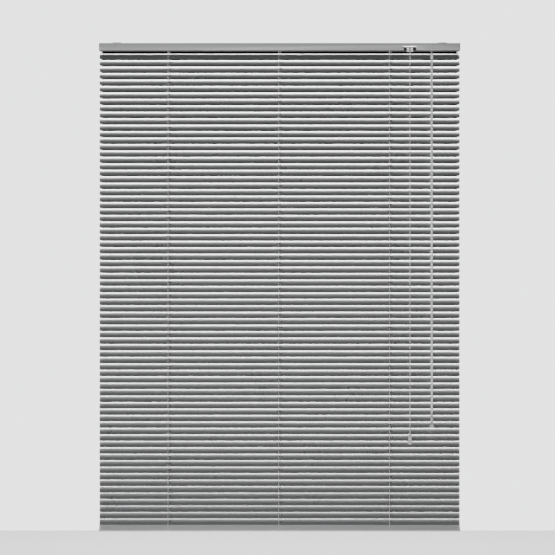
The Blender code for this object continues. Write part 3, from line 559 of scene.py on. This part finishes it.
blank = mesh_piece("slat_blank", *strip(), lacquer, 40)
route_radius = route_width / 2
outline = []
for side in (1, -1):
    for i in range(13):
        turn = math.pi * i / 12 - math.pi / 2
        reach = side * (route_length / 2 - route_radius + route_radius * math.cos(turn))
        outline.append((reach, side * route_radius * math.sin(turn)))
for x in ladder_x:
    points = [(x + a, b, h) for h in (-0.004, 0.004) for a, b in outline]
    count = len(outline)
    faces = [tuple(range(count)), tuple(range(count, 2 * count))]
    faces += [(i, (i + 1) % count, count + (i + 1) % count, count + i) for i in range(count)]
    punch = mesh_piece("route_punch", points, faces, lacquer)
    step = blank.modifiers.new("route", "BOOLEAN")
    step.object, step.operation, step.solver = punch, "DIFFERENCE", "EXACT"
    blank = bake(blank, "slat_blank")
    bpy.data.objects.remove(punch)
blank.data.shade_smooth()
blank.data.set_sharp_from_angle(angle=math.radians(40))
blank.hide_render = True

# hung_strip: one slat at its place in the ladders, a hair uneven as real ones hang
tree, given, result = group(
    "hung_strip",
    "GeometryNodeTree",
    [
        ("Geometry", "NodeSocketGeometry", None),
        ("Number", "NodeSocketInt", 1),
        ("First height", "NodeSocketFloat", -0.04),
        ("Pitch", "NodeSocketFloat", 0.02),
        ("Tilt", "NodeSocketFloat", 0.9),
        ("Unevenness", "NodeSocketFloat", 0.0002),
        ("Seed", "NodeSocketInt", 7),
        ("Finish", "NodeSocketMaterial", None),
    ],
    [("Geometry", "NodeSocketGeometry")],
)
hung_strip = tree
counted = sums(tree, "SUBTRACT", given.outputs["Number"], 1.0)
drop = sums(tree, "MULTIPLY", counted, given.outputs["Pitch"])
height = sums(tree, "SUBTRACT", given.outputs["First height"], drop)
shift = node(
    tree,
    "FunctionNodeRandomValue",
    {"ID": given.outputs["Number"], "Seed": given.outputs["Seed"], 2: -1.0, 3: 1.0},
    data_type="FLOAT",
).outputs[1]
shift = sums(tree, "MULTIPLY", shift, given.outputs["Unevenness"])
spot = node(tree, "ShaderNodeCombineXYZ", {0: shift, 2: height})
lean = sums(tree, "MULTIPLY_ADD", shift, 30.0, given.outputs["Tilt"])
turn = node(tree, "ShaderNodeCombineXYZ", {0: lean})
point = node(tree, "GeometryNodeMeshLine", {"Count": 1})
here = node(
    tree, "GeometryNodeSetPosition", {"Geometry": point.outputs[0], "Position": spot.outputs[0]}
)
hung = node(
    tree,
    "GeometryNodeInstanceOnPoints",
    {"Points": here.outputs[0], "Instance": given.outputs["Geometry"], "Rotation": turn.outputs[0]},
)
whole = node(tree, "GeometryNodeRealizeInstances", {0: hung.outputs[0]})
coat = node(
    tree, "GeometryNodeSetMaterial", {0: whole.outputs[0], "Material": given.outputs["Finish"]}
)
tree.links.new(coat.outputs[0], result.inputs["Geometry"])


def grown(name, source, tree, values):
    """Run a geometry tree on a copy of a source mesh with these named sizes, as a plain piece."""
    thing = link(name, source.copy())
    step = thing.modifiers.new(tree.name, "NODES")
    step.node_group = tree
    sockets = {s.name: s.identifier for s in tree.interface.items_tree if s.in_out == "INPUT"}
    for label, value in values.items():
        step[sockets[label]] = value
    return bake(thing, name)


def slat_place(number):
    """A slat's height, the body that turns it, and how far that body's axis is above it."""
    height = first_slat_z - (number - 1) * slat_pitch
    unit = (number - 1) // slats_per_carrier
    if unit < len(carried):
        joint = joints[carried[unit]]
    else:
        joint = joints["tilt_bottom"]
    return height, joint["child"], joint["pos_m"][2]


def carry(piece, vector):
    """Give a piece its own copy of its mesh, unless the vector is nearly zero."""
    vector = Vector(vector)
    if vector.length < 1e-6:
        return
    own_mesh(piece)


def follow_tilt(piece, number):
    """Ride the slat's body; a piece whose slat lies off that body's axis gets its own mesh."""
    height, body, axis_z = slat_place(number)
    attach(piece, body)
    offset = height - axis_z
    back = Vector((0, -offset * math.sin(slat_tilt), offset * (math.cos(slat_tilt) - 1)))
    carry(piece, back)


for number in range(1, slat_count + 1):
    slat = grown(
        f"slat_no_{number:02d}",
        blank.data,
        hung_strip,
        {
            "Number": number,
            "First height": first_slat_z,
            "Pitch": slat_pitch,
            "Tilt": slat_tilt,
            "Unevenness": 0.00025,
            "Seed": 11,
            "Finish": lacquer,
        },
    )
    if slat_place(number)[1] != "bottom" and (number - first_carried) % slats_per_carrier == 0:
        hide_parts(f"slat_{(number - first_carried) // slats_per_carrier + 1:02d}")
    follow_tilt(slat, number)
bpy.data.objects.remove(blank)

# ---------------------------------------------------------------------------------------------
# Ladders. Three string ladders of braided polyester: a front and a back string, joined under
# each slat by a pair of thin rungs. Each string is knotted to its rungs at every slat's edge.

ladder_shift = -0.003
string_radius = 0.00058
rung_radius = 0.00026
string_gap = 0.0009
edge_reach = slat_width / 2 * math.cos(slat_tilt)
edge_shift = crown(slat_width / 2) * math.sin(slat_tilt)
front_y = -edge_reach - edge_shift - string_gap
back_y = edge_reach - edge_shift + string_gap
edge_rise = slat_width / 2 * math.sin(slat_tilt)
open_y = slat_width / 2 + string_gap
ladder_braid = cord_material(
    "ladder_braid", (0.86, 0.86, 0.84), (0.55, 0.55, 0.53), 0.0024, 3.0, 0.00012
)

row_sockets = [
    ("First ladder", "NodeSocketFloat", -0.37),
    ("Ladder spacing", "NodeSocketFloat", 0.368),
    ("Ladders", "NodeSocketInt", 3),
    ("Finish", "NodeSocketMaterial", None),
]


def spot_at(tree, parts):
    """A vector from those of its parts that are not 0."""
    return node(tree, "ShaderNodeCombineXYZ", parts).outputs[0]


def fine_line(tree, start, end, count):
    """A straight curve of this many points, and where each of them is."""
    ends = {"Start": spot_at(tree, start), "End": spot_at(tree, end)}
    line = node(tree, "GeometryNodeCurvePrimitiveLine", ends)
    fine = node(tree, "GeometryNodeResampleCurve", {"Curve": line.outputs[0], "Count": count})
    here = node(tree, "GeometryNodeInputPosition").outputs[0]
    return fine.outputs[0], node(tree, "ShaderNodeSeparateXYZ", {0: here}).outputs


def swept(tree, curve, offset, sides, radius):
    """A thread along a curve that is moved off its line by an offset."""
    moved = node(
        tree, "GeometryNodeSetPosition", {"Geometry": curve, "Offset": spot_at(tree, offset)}
    ).outputs[0]
    ring = node(tree, "GeometryNodeCurvePrimitiveCircle", {"Resolution": sides, "Radius": radius})
    values = {"Curve": moved, "Profile Curve": ring.outputs[0], "Fill Caps": True}
    return node(tree, "GeometryNodeCurveToMesh", values).outputs[0]


def at_each_ladder(tree, g, result, shape, height=0.0, tilt=0.0):
    """End a tree with its shape set out at each of the ladders, smooth and in its finish."""
    row = {
        "Count": g["Ladders"],
        "Start Location": spot_at(tree, {0: g["First ladder"], 2: height}),
        "Offset": spot_at(tree, {0: g["Ladder spacing"]}),
    }
    points = node(tree, "GeometryNodeMeshLine", row).outputs[0]
    values = {"Points": points, "Instance": shape, "Rotation": spot_at(tree, {0: tilt})}
    set_out = node(tree, "GeometryNodeInstanceOnPoints", values)
    whole = node(tree, "GeometryNodeRealizeInstances", {0: set_out.outputs[0]})
    soft = node(tree, "GeometryNodeSetShadeSmooth", {0: whole.outputs[0]})
    coat = node(tree, "GeometryNodeSetMaterial", {0: soft.outputs[0], "Material": g["Finish"]})
    tree.links.new(coat.outputs[0], result.inputs["Geometry"])


# ladder_string: three upright strings with a knot at every slat, drawn in a little at each knot
tree, given, result = group(
    "ladder_string",
    "GeometryNodeTree",
    [
        ("Geometry", "NodeSocketGeometry", None),
        ("Top", "NodeSocketFloat", 0.0),
        ("Length", "NodeSocketFloat", 0.15),
        ("First knot", "NodeSocketFloat", -0.01),
        ("Pitch", "NodeSocketFloat", 0.02),
        ("Out", "NodeSocketFloat", -0.008),
        ("Pull", "NodeSocketFloat", 0.0005),
        ("Radius", "NodeSocketFloat", 0.0004),
        *row_sockets,
    ],
    [("Geometry", "NodeSocketGeometry")],
)
ladder_string = tree
g = given.outputs
string_step = 0.0018
sway_width = 0.00025
foot = sums(tree, "SUBTRACT", g["Top"], g["Length"])
fine, here = fine_line(tree, {2: g["Top"]}, {2: foot}, sums(tree, "DIVIDE", g["Length"], string_step))
phase = sums(tree, "DIVIDE", sums(tree, "SUBTRACT", here["Z"], g["First knot"]), g["Pitch"])
wave = sums(tree, "COSINE", sums(tree, "MULTIPLY", phase, 2 * math.pi))
wave = sums(tree, "POWER", sums(tree, "MULTIPLY_ADD", wave, 0.5, 0.5), 6.0)
sign = sums(tree, "SIGN", g["Out"])
drawn = sums(tree, "MULTIPLY", sums(tree, "MULTIPLY", wave, g["Pull"]), sign)
sway = sums(tree, "SINE", sums(tree, "MULTIPLY", phase, math.pi))
offset = {0: sums(tree, "MULTIPLY", sway, sway_width), 1: sums(tree, "SUBTRACT", g["Out"], drawn)}
string = swept(tree, fine, offset, 6, g["Radius"])
knot_y = sums(tree, "SUBTRACT", g["Out"], sums(tree, "MULTIPLY", g["Pull"], sign))
knots = node(
    tree,
    "GeometryNodeMeshLine",
    {
        "Count": sums(tree, "DIVIDE", g["Length"], g["Pitch"]),
        "Start Location": spot_at(tree, {1: knot_y, 2: g["First knot"]}),
        "Offset": spot_at(tree, {2: sums(tree, "MULTIPLY", g["Pitch"], -1.0)}),
    },
)
bead = node(
    tree,
    "GeometryNodeMeshUVSphere",
    {"Segments": 8, "Rings": 5, "Radius": sums(tree, "MULTIPLY", g["Radius"], 1.75)},
)
knot = node(
    tree,
    "GeometryNodeInstanceOnPoints",
    {"Points": knots.outputs[0], "Instance": bead.outputs[0], "Scale": (1.0, 0.9, 1.35)},
)
one = node(tree, "GeometryNodeJoinGeometry")
tree.links.new(string, one.inputs[0])
tree.links.new(knot.outputs[0], one.inputs[0])
at_each_ladder(tree, g, result, one.outputs[0])

# ladder_rungs: pairs of threads that follow a slat's underside, at each of the ladders
tree, given, result = group(
    "ladder_rungs",
    "GeometryNodeTree",
    [
        ("Geometry", "NodeSocketGeometry", None),
        ("Half width", "NodeSocketFloat", 0.0125),
        ("Crown", "NodeSocketFloat", 0.002),
        ("Below", "NodeSocketFloat", 0.0004),
        ("Radius", "NodeSocketFloat", 0.00026),
        ("Height", "NodeSocketFloat", 0.0),
        ("Tilt", "NodeSocketFloat", 0.9),
        *row_sockets,
    ],
    [("Geometry", "NodeSocketGeometry")],
)
ladder_rungs = tree
g = given.outputs
pair_gap = 0.0016
near = sums(tree, "MULTIPLY", g["Half width"], -1.0)
fine, here = fine_line(tree, {1: near}, {1: g["Half width"]}, 14)
share = sums(tree, "DIVIDE", here["Y"], g["Half width"])
fall = sums(tree, "SUBTRACT", 1 / 3, sums(tree, "MULTIPLY", share, share))
rise = sums(tree, "SUBTRACT", sums(tree, "MULTIPLY", fall, g["Crown"]), g["Below"])
thread = swept(tree, fine, {2: rise}, 5, g["Radius"])
pair = node(
    tree,
    "GeometryNodeMeshLine",
    {"Count": 2, "Start Location": (-pair_gap / 2, 0, 0), "Offset": (pair_gap, 0, 0)},
)
rungs = node(tree, "GeometryNodeInstanceOnPoints", {"Points": pair.outputs[0], "Instance": thread})
at_each_ladder(tree, g, result, rungs.outputs[0], g["Height"], g["Tilt"])

seed_mesh = bpy.data.meshes.new("ladder_seed")
seed_mesh.from_pydata([(0, 0, 0)], [], [])
ladder_row = {
    "First ladder": ladder_x[0] + ladder_shift,
    "Ladder spacing": ladder_x[1] - ladder_x[0],
    "Ladders": len(ladder_x),
    "Finish": ladder_braid,
}
for number in range(1, slat_count + 1):
    rungs = grown(
        f"rungs_no_{number:02d}",
        seed_mesh,
        ladder_rungs,
        {
            "Half width": slat_width / 2 + 0.0006,
            "Crown": slat_crown,
            "Below": slat_gauge / 2 + rung_radius + 0.00004,
            "Radius": rung_radius,
            "Height": slat_place(number)[0],
            "Tilt": slat_tilt,
            **ladder_row,
        },
    )
    follow_tilt(rungs, number)

rail_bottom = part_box("head_rail")[0].z
bottom_z = joints["tilt_bottom"]["pos_m"][2]
throat_z = rail_bottom - 0.0128
string_exit = rail_bottom + 0.0006
foot_share = 0.86  # where the strings end, as a share of the height of a slat's edge
for unit in range(len(carried) + 1):
    first, last = unit * slats_per_carrier + 1, min((unit + 1) * slats_per_carrier, slat_count)
    body = f"carrier_{unit + 1:02d}" if unit < len(carried) else "foot"
    for word, out, knot_drop in (("front", front_y, -edge_rise), ("back", back_y, edge_rise)):
        top = slat_place(first)[0] + slat_pitch / 2
        foot = slat_place(last)[0] - slat_pitch / 2
        first_knot = slat_place(first)[0] + knot_drop
        while first_knot > top:
            first_knot -= slat_pitch
        if unit == 0:
            top = throat_z if word == "front" else rail_bottom - 0.0013
        if body == "foot":
            foot = bottom_z + knot_drop * foot_share
        string = grown(
            f"{word}_strings_{unit + 1:02d}",
            seed_mesh,
            ladder_string,
            {
                "Top": top,
                "Length": top - foot,
                "First knot": first_knot,
                "Pitch": slat_pitch,
                "Out": out,
                "Pull": 0.0005,
                "Radius": string_radius,
                **ladder_row,
            },
        )
        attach(string, body)
        sideways = -open_y - out if word == "front" else open_y - out
        carry(string, (0, sideways, -knot_drop))
        if word == "front":
            part = "foot" if body == "foot" else f"{unit + 1:02d}"
            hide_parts(f"ladder_centre_{part}")

# the turns of string over the drums, and the lengths between the rail and the first slat
rod_z = joints["tilt"]["pos_m"][2]
wound_radius = 0.0080


def tubes(routes, radius, sides):
    """Several tubes as one body."""
    points, faces = [], []
    for route in routes:
        more_points, more_faces = tube(route, radius, sides)
        faces += [tuple(len(points) + v for v in face) for face in more_faces]
        points += more_points
    return points, faces


over_drums = []
for x in ladder_x:
    x += ladder_shift
    route = [Vector((x, front_y, string_exit)), Vector((x, -wound_radius, rod_z - 0.003))]
    for i in range(25):
        turn = math.pi * (1 - i / 24)
        route.append(Vector((x, wound_radius * math.cos(turn), rod_z + wound_radius * math.sin(turn))))
    route += [Vector((x, wound_radius, rod_z - 0.003)), Vector((x, back_y, rail_bottom - 0.0004))]
    over_drums.append(route)
turns = mesh_piece("strings_over_drums", *tubes(over_drums, string_radius, 8), ladder_braid, 60)
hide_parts("ladder_left", "ladder_right")
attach(turns, "head")

from_rail = [
    straight((x + ladder_shift, front_y, string_exit), (x + ladder_shift, front_y, throat_z), 0.0012)
    for x in ladder_x
]
throat = mesh_piece(
    "front_strings_from_rail", *tubes(from_rail, string_radius, 8), ladder_braid, 60
)
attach(throat, "head")
swing = Vector((0, -open_y - front_y, edge_rise))
depth = abs((throat_z - string_exit) * swing.normalized().z)
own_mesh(throat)

# ---------------------------------------------------------------------------------------------
# Lift cords. Three 1.4 mm braided cords, one through each ladder. Each is knotted in the bottom
# rail, rises through the slats, turns over its cradle and runs along the rail to the cord lock.

lift_radius = 0.0007
lift_shift = 0.0032
lift_y = -slat_crown / 3 * math.sin(slat_tilt)
lift_braid = cord_material(
    "lift_cord_braid", (0.60, 0.60, 0.58), (0.32, 0.32, 0.31), 0.0036, 4.0, 0.0002
)
turn_z = rail_bottom - 0.0012
knot_z = bottom_z + 0.0095
through_slats = [
    straight((x + lift_shift, lift_y, turn_z), (x + lift_shift, lift_y, knot_z), 0.003)
    for x in ladder_x
]
drops = mesh_piece("lift_cord_drops", *tubes(through_slats, lift_radius, 8), lift_braid, 80)
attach(drops, "head")
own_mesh(drops)

lock_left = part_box("cord_lock")[0].x
rail_floor = rail_bottom + 0.0016
over_z = rail_floor + 0.0026
run_y = -0.0109
for lane, (word, x) in enumerate(zip(("left", "centre", "right"), ladder_x)):
    run_z = rail_floor + lane * 0.0017
    out = x + lift_shift
    way = [
        Vector((out, lift_y, turn_z)),
        Vector((out + 0.0001, lift_y, over_z - 0.0022)),
        Vector((out + 0.0012, lift_y - 0.0004, over_z - 0.0007)),
        Vector((out + 0.0030, lift_y - 0.0012, over_z)),
        Vector((out + 0.0060, run_y * 0.40, over_z - 0.0002)),
        Vector((out + 0.0100, run_y * 0.75, (over_z + run_z) / 2)),
        Vector((out + 0.0150, run_y * 0.97, run_z)),
        Vector((out + 0.0200, run_y, run_z)),
    ]
    way += straight(way[-1] + Vector((0.004, 0, 0)), (lock_left - 0.0004, run_y, run_z), 0.004)
    run = mesh_piece(f"lift_cord_run_{word}", *tube(way, lift_radius, 10), lift_braid, 80)
    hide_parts(f"lift_cord_{word}")
    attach(run, "head")

# ---------------------------------------------------------------------------------------------
# Head rail. A channel roll-formed from 0.6 mm steel and sprayed satin grey, open at the top with
# its lips turned in, punched below for strings, cords, lock and tilter, with a cap on each end. Its
# inner faces are coloured near-black: painted shade for the shadowed inside of the channel. Pressed
# and moulded pieces keep their drawn shape and get their small edge rounds.


def rounded(node_name, piece_name, body, material, width, segments=2, angle=40):
    """A copy of a drawn node with its sharp edges rounded, which stands for that node."""
    mesh = frame["nodes"][node_name].data.copy()
    mesh.materials.clear()
    mesh.materials.append(material)
    form = bmesh.new()
    form.from_mesh(mesh)
    bmesh.ops.remove_doubles(form, verts=form.verts, dist=1e-5)
    bmesh.ops.dissolve_degenerate(form, edges=form.edges, dist=1e-6)
    form.to_mesh(mesh)
    form.free()
    thing = link(piece_name + "_drawn", mesh)
    step = thing.modifiers.new("edge_round", "BEVEL")
    step.width = width
    step.segments = segments
    step.limit_method = "ANGLE"
    step.angle_limit = math.radians(angle)
    step.use_clamp_overlap = True
    piece = bake(thing, piece_name)
    piece.data.shade_smooth()
    piece.data.set_sharp_from_angle(angle=math.radians(48))
    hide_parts(node_name)
    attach(piece, body)
    return piece


def two_tone(material, reach, within, beyond):
    """Give a finish one colour nearer than this to the rail's middle plane, and one beyond it."""
    tree = material.node_tree
    place = node(tree, "ShaderNodeTexCoord").outputs["Object"]
    deep = sums(tree, "ABSOLUTE", node(tree, "ShaderNodeSeparateXYZ", {0: place}).outputs["Y"])
    tint = two_colours(tree, ranged(tree, deep, reach, reach + 0.0002), within, beyond)
    skin = next(step for step in tree.nodes if step.type == "GROUP")
    tree.links.new(tint, skin.inputs["Colour"])


rail_grey = (0.50, 0.503, 0.51)
rail_paint = skinned("rail_paint", rail_grey, 0.46, 1500.0, 0.00003, dust=0.25, Coat_Weight=0.08)
# painted shade: near-black on the faces within 11.8 mm of the rail's middle plane, its inside
two_tone(rail_paint, 0.0118, (0.035, 0.035, 0.036), rail_grey)
rounded("head_rail", "roll_formed_head_rail", "head", rail_paint, 0.00012, 1)
cap_plastic = skinned("cap_plastic", (0.50, 0.50, 0.505), 0.5, 800.0, 0.00005, dust=0.15)
for word in ("left", "right"):
    rounded(f"head_cap_{word}", f"head_end_cap_{word}", "head", cap_plastic, 0.0003, 3)

# ---------------------------------------------------------------------------------------------
# Brackets. Zinc-plated pressed steel plates screwed up to the window head. A tongue hooks under
# the rail's front lip, and a swivel lever with a finger tab turns its cam under the back lip.

zinc, tree, shader = painted("zinc_plate", (0.60, 0.60, 0.58), 0.34, 1.0)
place = node(tree, "ShaderNodeTexCoord").outputs["Object"]
spangle = node(tree, "ShaderNodeTexVoronoi", {"Vector": place, "Scale": 420.0})
tint = two_colours(tree, spangle.outputs["Color"], (0.50, 0.51, 0.52), (0.66, 0.66, 0.63))
tree.links.new(tint, shader.inputs["Base Color"])
rough = ranged(tree, spangle.outputs["Distance"], 0.0, 1.0, 0.26, 0.44)
tree.links.new(rough, shader.inputs["Roughness"])
scuffs = node(tree, "ShaderNodeTexNoise", {"Vector": place, "Scale": 1200.0, "Detail": 4.0})
relief(tree, shader, scuffs.outputs["Fac"], 0.00003, 0.4)
for word in ("left", "right"):
    rounded(f"bracket_{word}", f"head_bracket_{word}", "head", zinc, 0.0002)
    lever = f"lever_{word}"
    rounded(f"bracket_lever_{word}", f"swivel_lever_{word}", lever, zinc, 0.0002)

# ---------------------------------------------------------------------------------------------
# Tilt shaft. A drawn six-sided steel rod through three moulded drums, each in a cradle that
# snaps into the rail's floor. The strings wind on the drums as the rod turns.

drawn_steel, tree, shader = painted("drawn_rod_steel", (0.55, 0.55, 0.56), 0.3, 1.0)
mill = node(tree, "ShaderNodeGroup", node_tree=rolled_lines)
mill.inputs["Across"].default_value = 2600.0
mill.inputs["Along"].default_value = 12.0
relief(tree, shader, mill.outputs["Height"], 0.00003, 0.5)
tree.links.new(ranged(tree, mill.outputs["Cloud"], 0.3, 0.7, 0.24, 0.40), shader.inputs["Roughness"])
rounded("tilt_rod", "drawn_tilt_rod", "tilt_shaft", drawn_steel, 0.0004, 2, 20)

white = (0.80, 0.80, 0.78)
white_plastic = skinned("white_plastic", white, 0.42, 700.0, 0.00005, dust=0.1)
cradle_plastic = skinned("cradle_plastic", (0.44, 0.44, 0.44), 0.5, 700.0, 0.00005, dust=0.1)
for word in ("left", "centre", "right"):
    drum, cradle = f"string_drum_{word}", f"rod_cradle_{word}"
    rounded(f"tilt_drum_{word}", drum, "tilt_shaft", white_plastic, 0.0002)
    rounded(f"drum_cradle_{word}", cradle, "head", cradle_plastic, 0.0002)

# ---------------------------------------------------------------------------------------------
# Tilter. A moulded gear on the rod and a worm under it, in a moulded case. The worm's stem comes
# out through the rail's lower corner and ends in an eye for the wand's hook.

rounded("tilter_gear", "worm_gear", "tilt_shaft", white_plastic, 0.0001, 1)
clear_moulding = skinned(
    "tilter_moulding", (0.80, 0.81, 0.81), 0.3, 600.0, 0.00004, dust=0.03, Transmission_Weight=0.35
)
rounded("tilter_worm", "worm_and_stem", "worm", clear_moulding, 0.00008, 1, 50)
rounded("tilter_housing", "tilter_case", "head", white_plastic, 0.0002)

# ---------------------------------------------------------------------------------------------
# Wand. A clear acrylic rod of six flats, hung from the eye by a wire hook. A clear collar covers
# the hook's shank at the top, and a moulded grip with a ring and a flared foot is at the bottom.

hook_wire = skinned("hook_wire", (0.62, 0.62, 0.61), 0.25, 900.0, 0.00002, dust=0.02, metallic=1.0)
rounded("wand_hook", "wire_hook", "wand", hook_wire, 0.00005, 1, 60)

acrylic, tree, shader = painted(
    "clear_acrylic", (0.95, 0.96, 0.96), 0.06, Transmission_Weight=0.18, IOR=1.49, Coat_Weight=0.3
)
place = node(tree, "ShaderNodeTexCoord").outputs["Object"]
stretch = node(tree, "ShaderNodeMapping", {"Vector": place, "Scale": (900.0, 900.0, 14.0)})
draw = node(tree, "ShaderNodeTexNoise", {"Vector": stretch.outputs[0], "Scale": 1.0, "Detail": 2.0})
relief(tree, shader, draw.outputs["Fac"], 0.00003, 0.2)
tree.links.new(ranged(tree, draw.outputs["Fac"], 0.3, 0.7, 0.03, 0.14), shader.inputs["Roughness"])
rounded("wand", "acrylic_wand", "wand", acrylic, 0.0003, 2, 30)
rounded("wand_sleeve", "clear_collar", "sleeve", acrylic, 0.0003, 2, 50)

grip_low, grip_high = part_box("wand_grip")
grip_x, grip_y = (grip_low.x + grip_high.x) / 2, (grip_low.y + grip_high.y) / 2
clearness = {"Transmission_Weight": 0.45, "Coat_Weight": 0.4}
grip_plastic = skinned(
    "grip_plastic", (0.80, 0.80, 0.80), 0.2, 500.0, 0.00004, dust=0.02, **clearness
)
bore = 0.0039
foot, head = grip_low.z, grip_high.z
profile = [
    (bore, foot + 0.0018),
    (0.0010, foot + 0.0012),
    (0.0068, foot + 0.0008),
    (0.0078, foot),
    (0.0083, foot + 0.0006),
    (0.0083, foot + 0.0030),
    (0.0079, foot + 0.0052),
    (0.0068, foot + 0.0085),
    (0.0059, foot + 0.0118),
    (0.0054, foot + 0.0130),
    (0.0054, foot + 0.0142),
    (0.0048, foot + 0.0150),
    (0.0047, foot + 0.0170),
    (0.0050, foot + 0.0260),
    (0.0048, head - 0.0085),
    (0.0046, head - 0.0075),
    (0.0052, head - 0.0068),
    (0.0058, head - 0.0056),
    (0.0058, head - 0.0022),
    (0.0052, head - 0.0008),
    (0.0046, head),
    (0.0041, head - 0.0003),
    (bore, head - 0.0012),
]
grip = mesh_piece("wand_grip_moulding", *turned(profile, grip_x, grip_y, 48), grip_plastic, 50)
flat_reach = 0.0041  # flat in front and behind, between the flared foot and the ring
for vertex in grip.data.vertices:
    depth = vertex.co.y - grip_y
    if foot + 0.0145 < vertex.co.z < head - 0.0072 and abs(depth) > flat_reach:
        vertex.co.y = grip_y + math.copysign(flat_reach, depth)
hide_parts("wand_grip")
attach(grip, "wand")

# ---------------------------------------------------------------------------------------------
# Cord lock. A moulded block set in the rail's front corner, with two cheeks that guide the cord
# and a knurled brass roller between them, which the cord pulls down to grip it. The block behind
# the white cheeks is black.

lock_plastic = skinned("lock_plastic", white, 0.42, 700.0, 0.00005, dust=0.0)
two_tone(lock_plastic, 0.0136, (0.012, 0.012, 0.013), white)
rounded("cord_lock", "cord_lock_moulding", "head", lock_plastic, 0.0004, 3)
brass, tree, shader = painted("roller_brass", (0.60, 0.50, 0.30), 0.36, 1.0)
place = node(tree, "ShaderNodeTexCoord").outputs["Object"]
tarnish = node(tree, "ShaderNodeTexNoise", {"Vector": place, "Scale": 500.0, "Detail": 4.0})
tint = two_colours(tree, tarnish.outputs["Fac"], (0.66, 0.56, 0.34), (0.40, 0.31, 0.17))
tree.links.new(tint, shader.inputs["Base Color"])
relief(tree, shader, tarnish.outputs["Fac"], 0.00004, 0.5)
rounded("cord_lock_roller", "knurled_roller", "lock_roller", brass, 0.00006, 1, 30)

# ---------------------------------------------------------------------------------------------
# Bottom rail. A flat tube roll-formed from painted steel, which weighs the blind down. It has a
# moulded cap on each end and a button under each ladder, over the knots of its cord and strings.

bottom_paint = skinned(
    "bottom_paint", (0.50, 0.502, 0.51), 0.40, 1500.0, 0.00003, dust=0.2, Coat_Weight=0.15
)
rounded(
    "bottom_rail", "roll_formed_bottom_rail", "bottom", bottom_paint, 0.00012, 1, 50
)
below = [(f"bottom_cap_{word}", f"bottom_end_cap_{word}") for word in ("left", "right")]
below += [(f"bottom_plug_{word}", f"cord_button_{word}") for word in ("left", "centre", "right")]
for drawn, piece in below:
    rounded(drawn, piece, "bottom", cap_plastic, 0.0003, 3, 50)
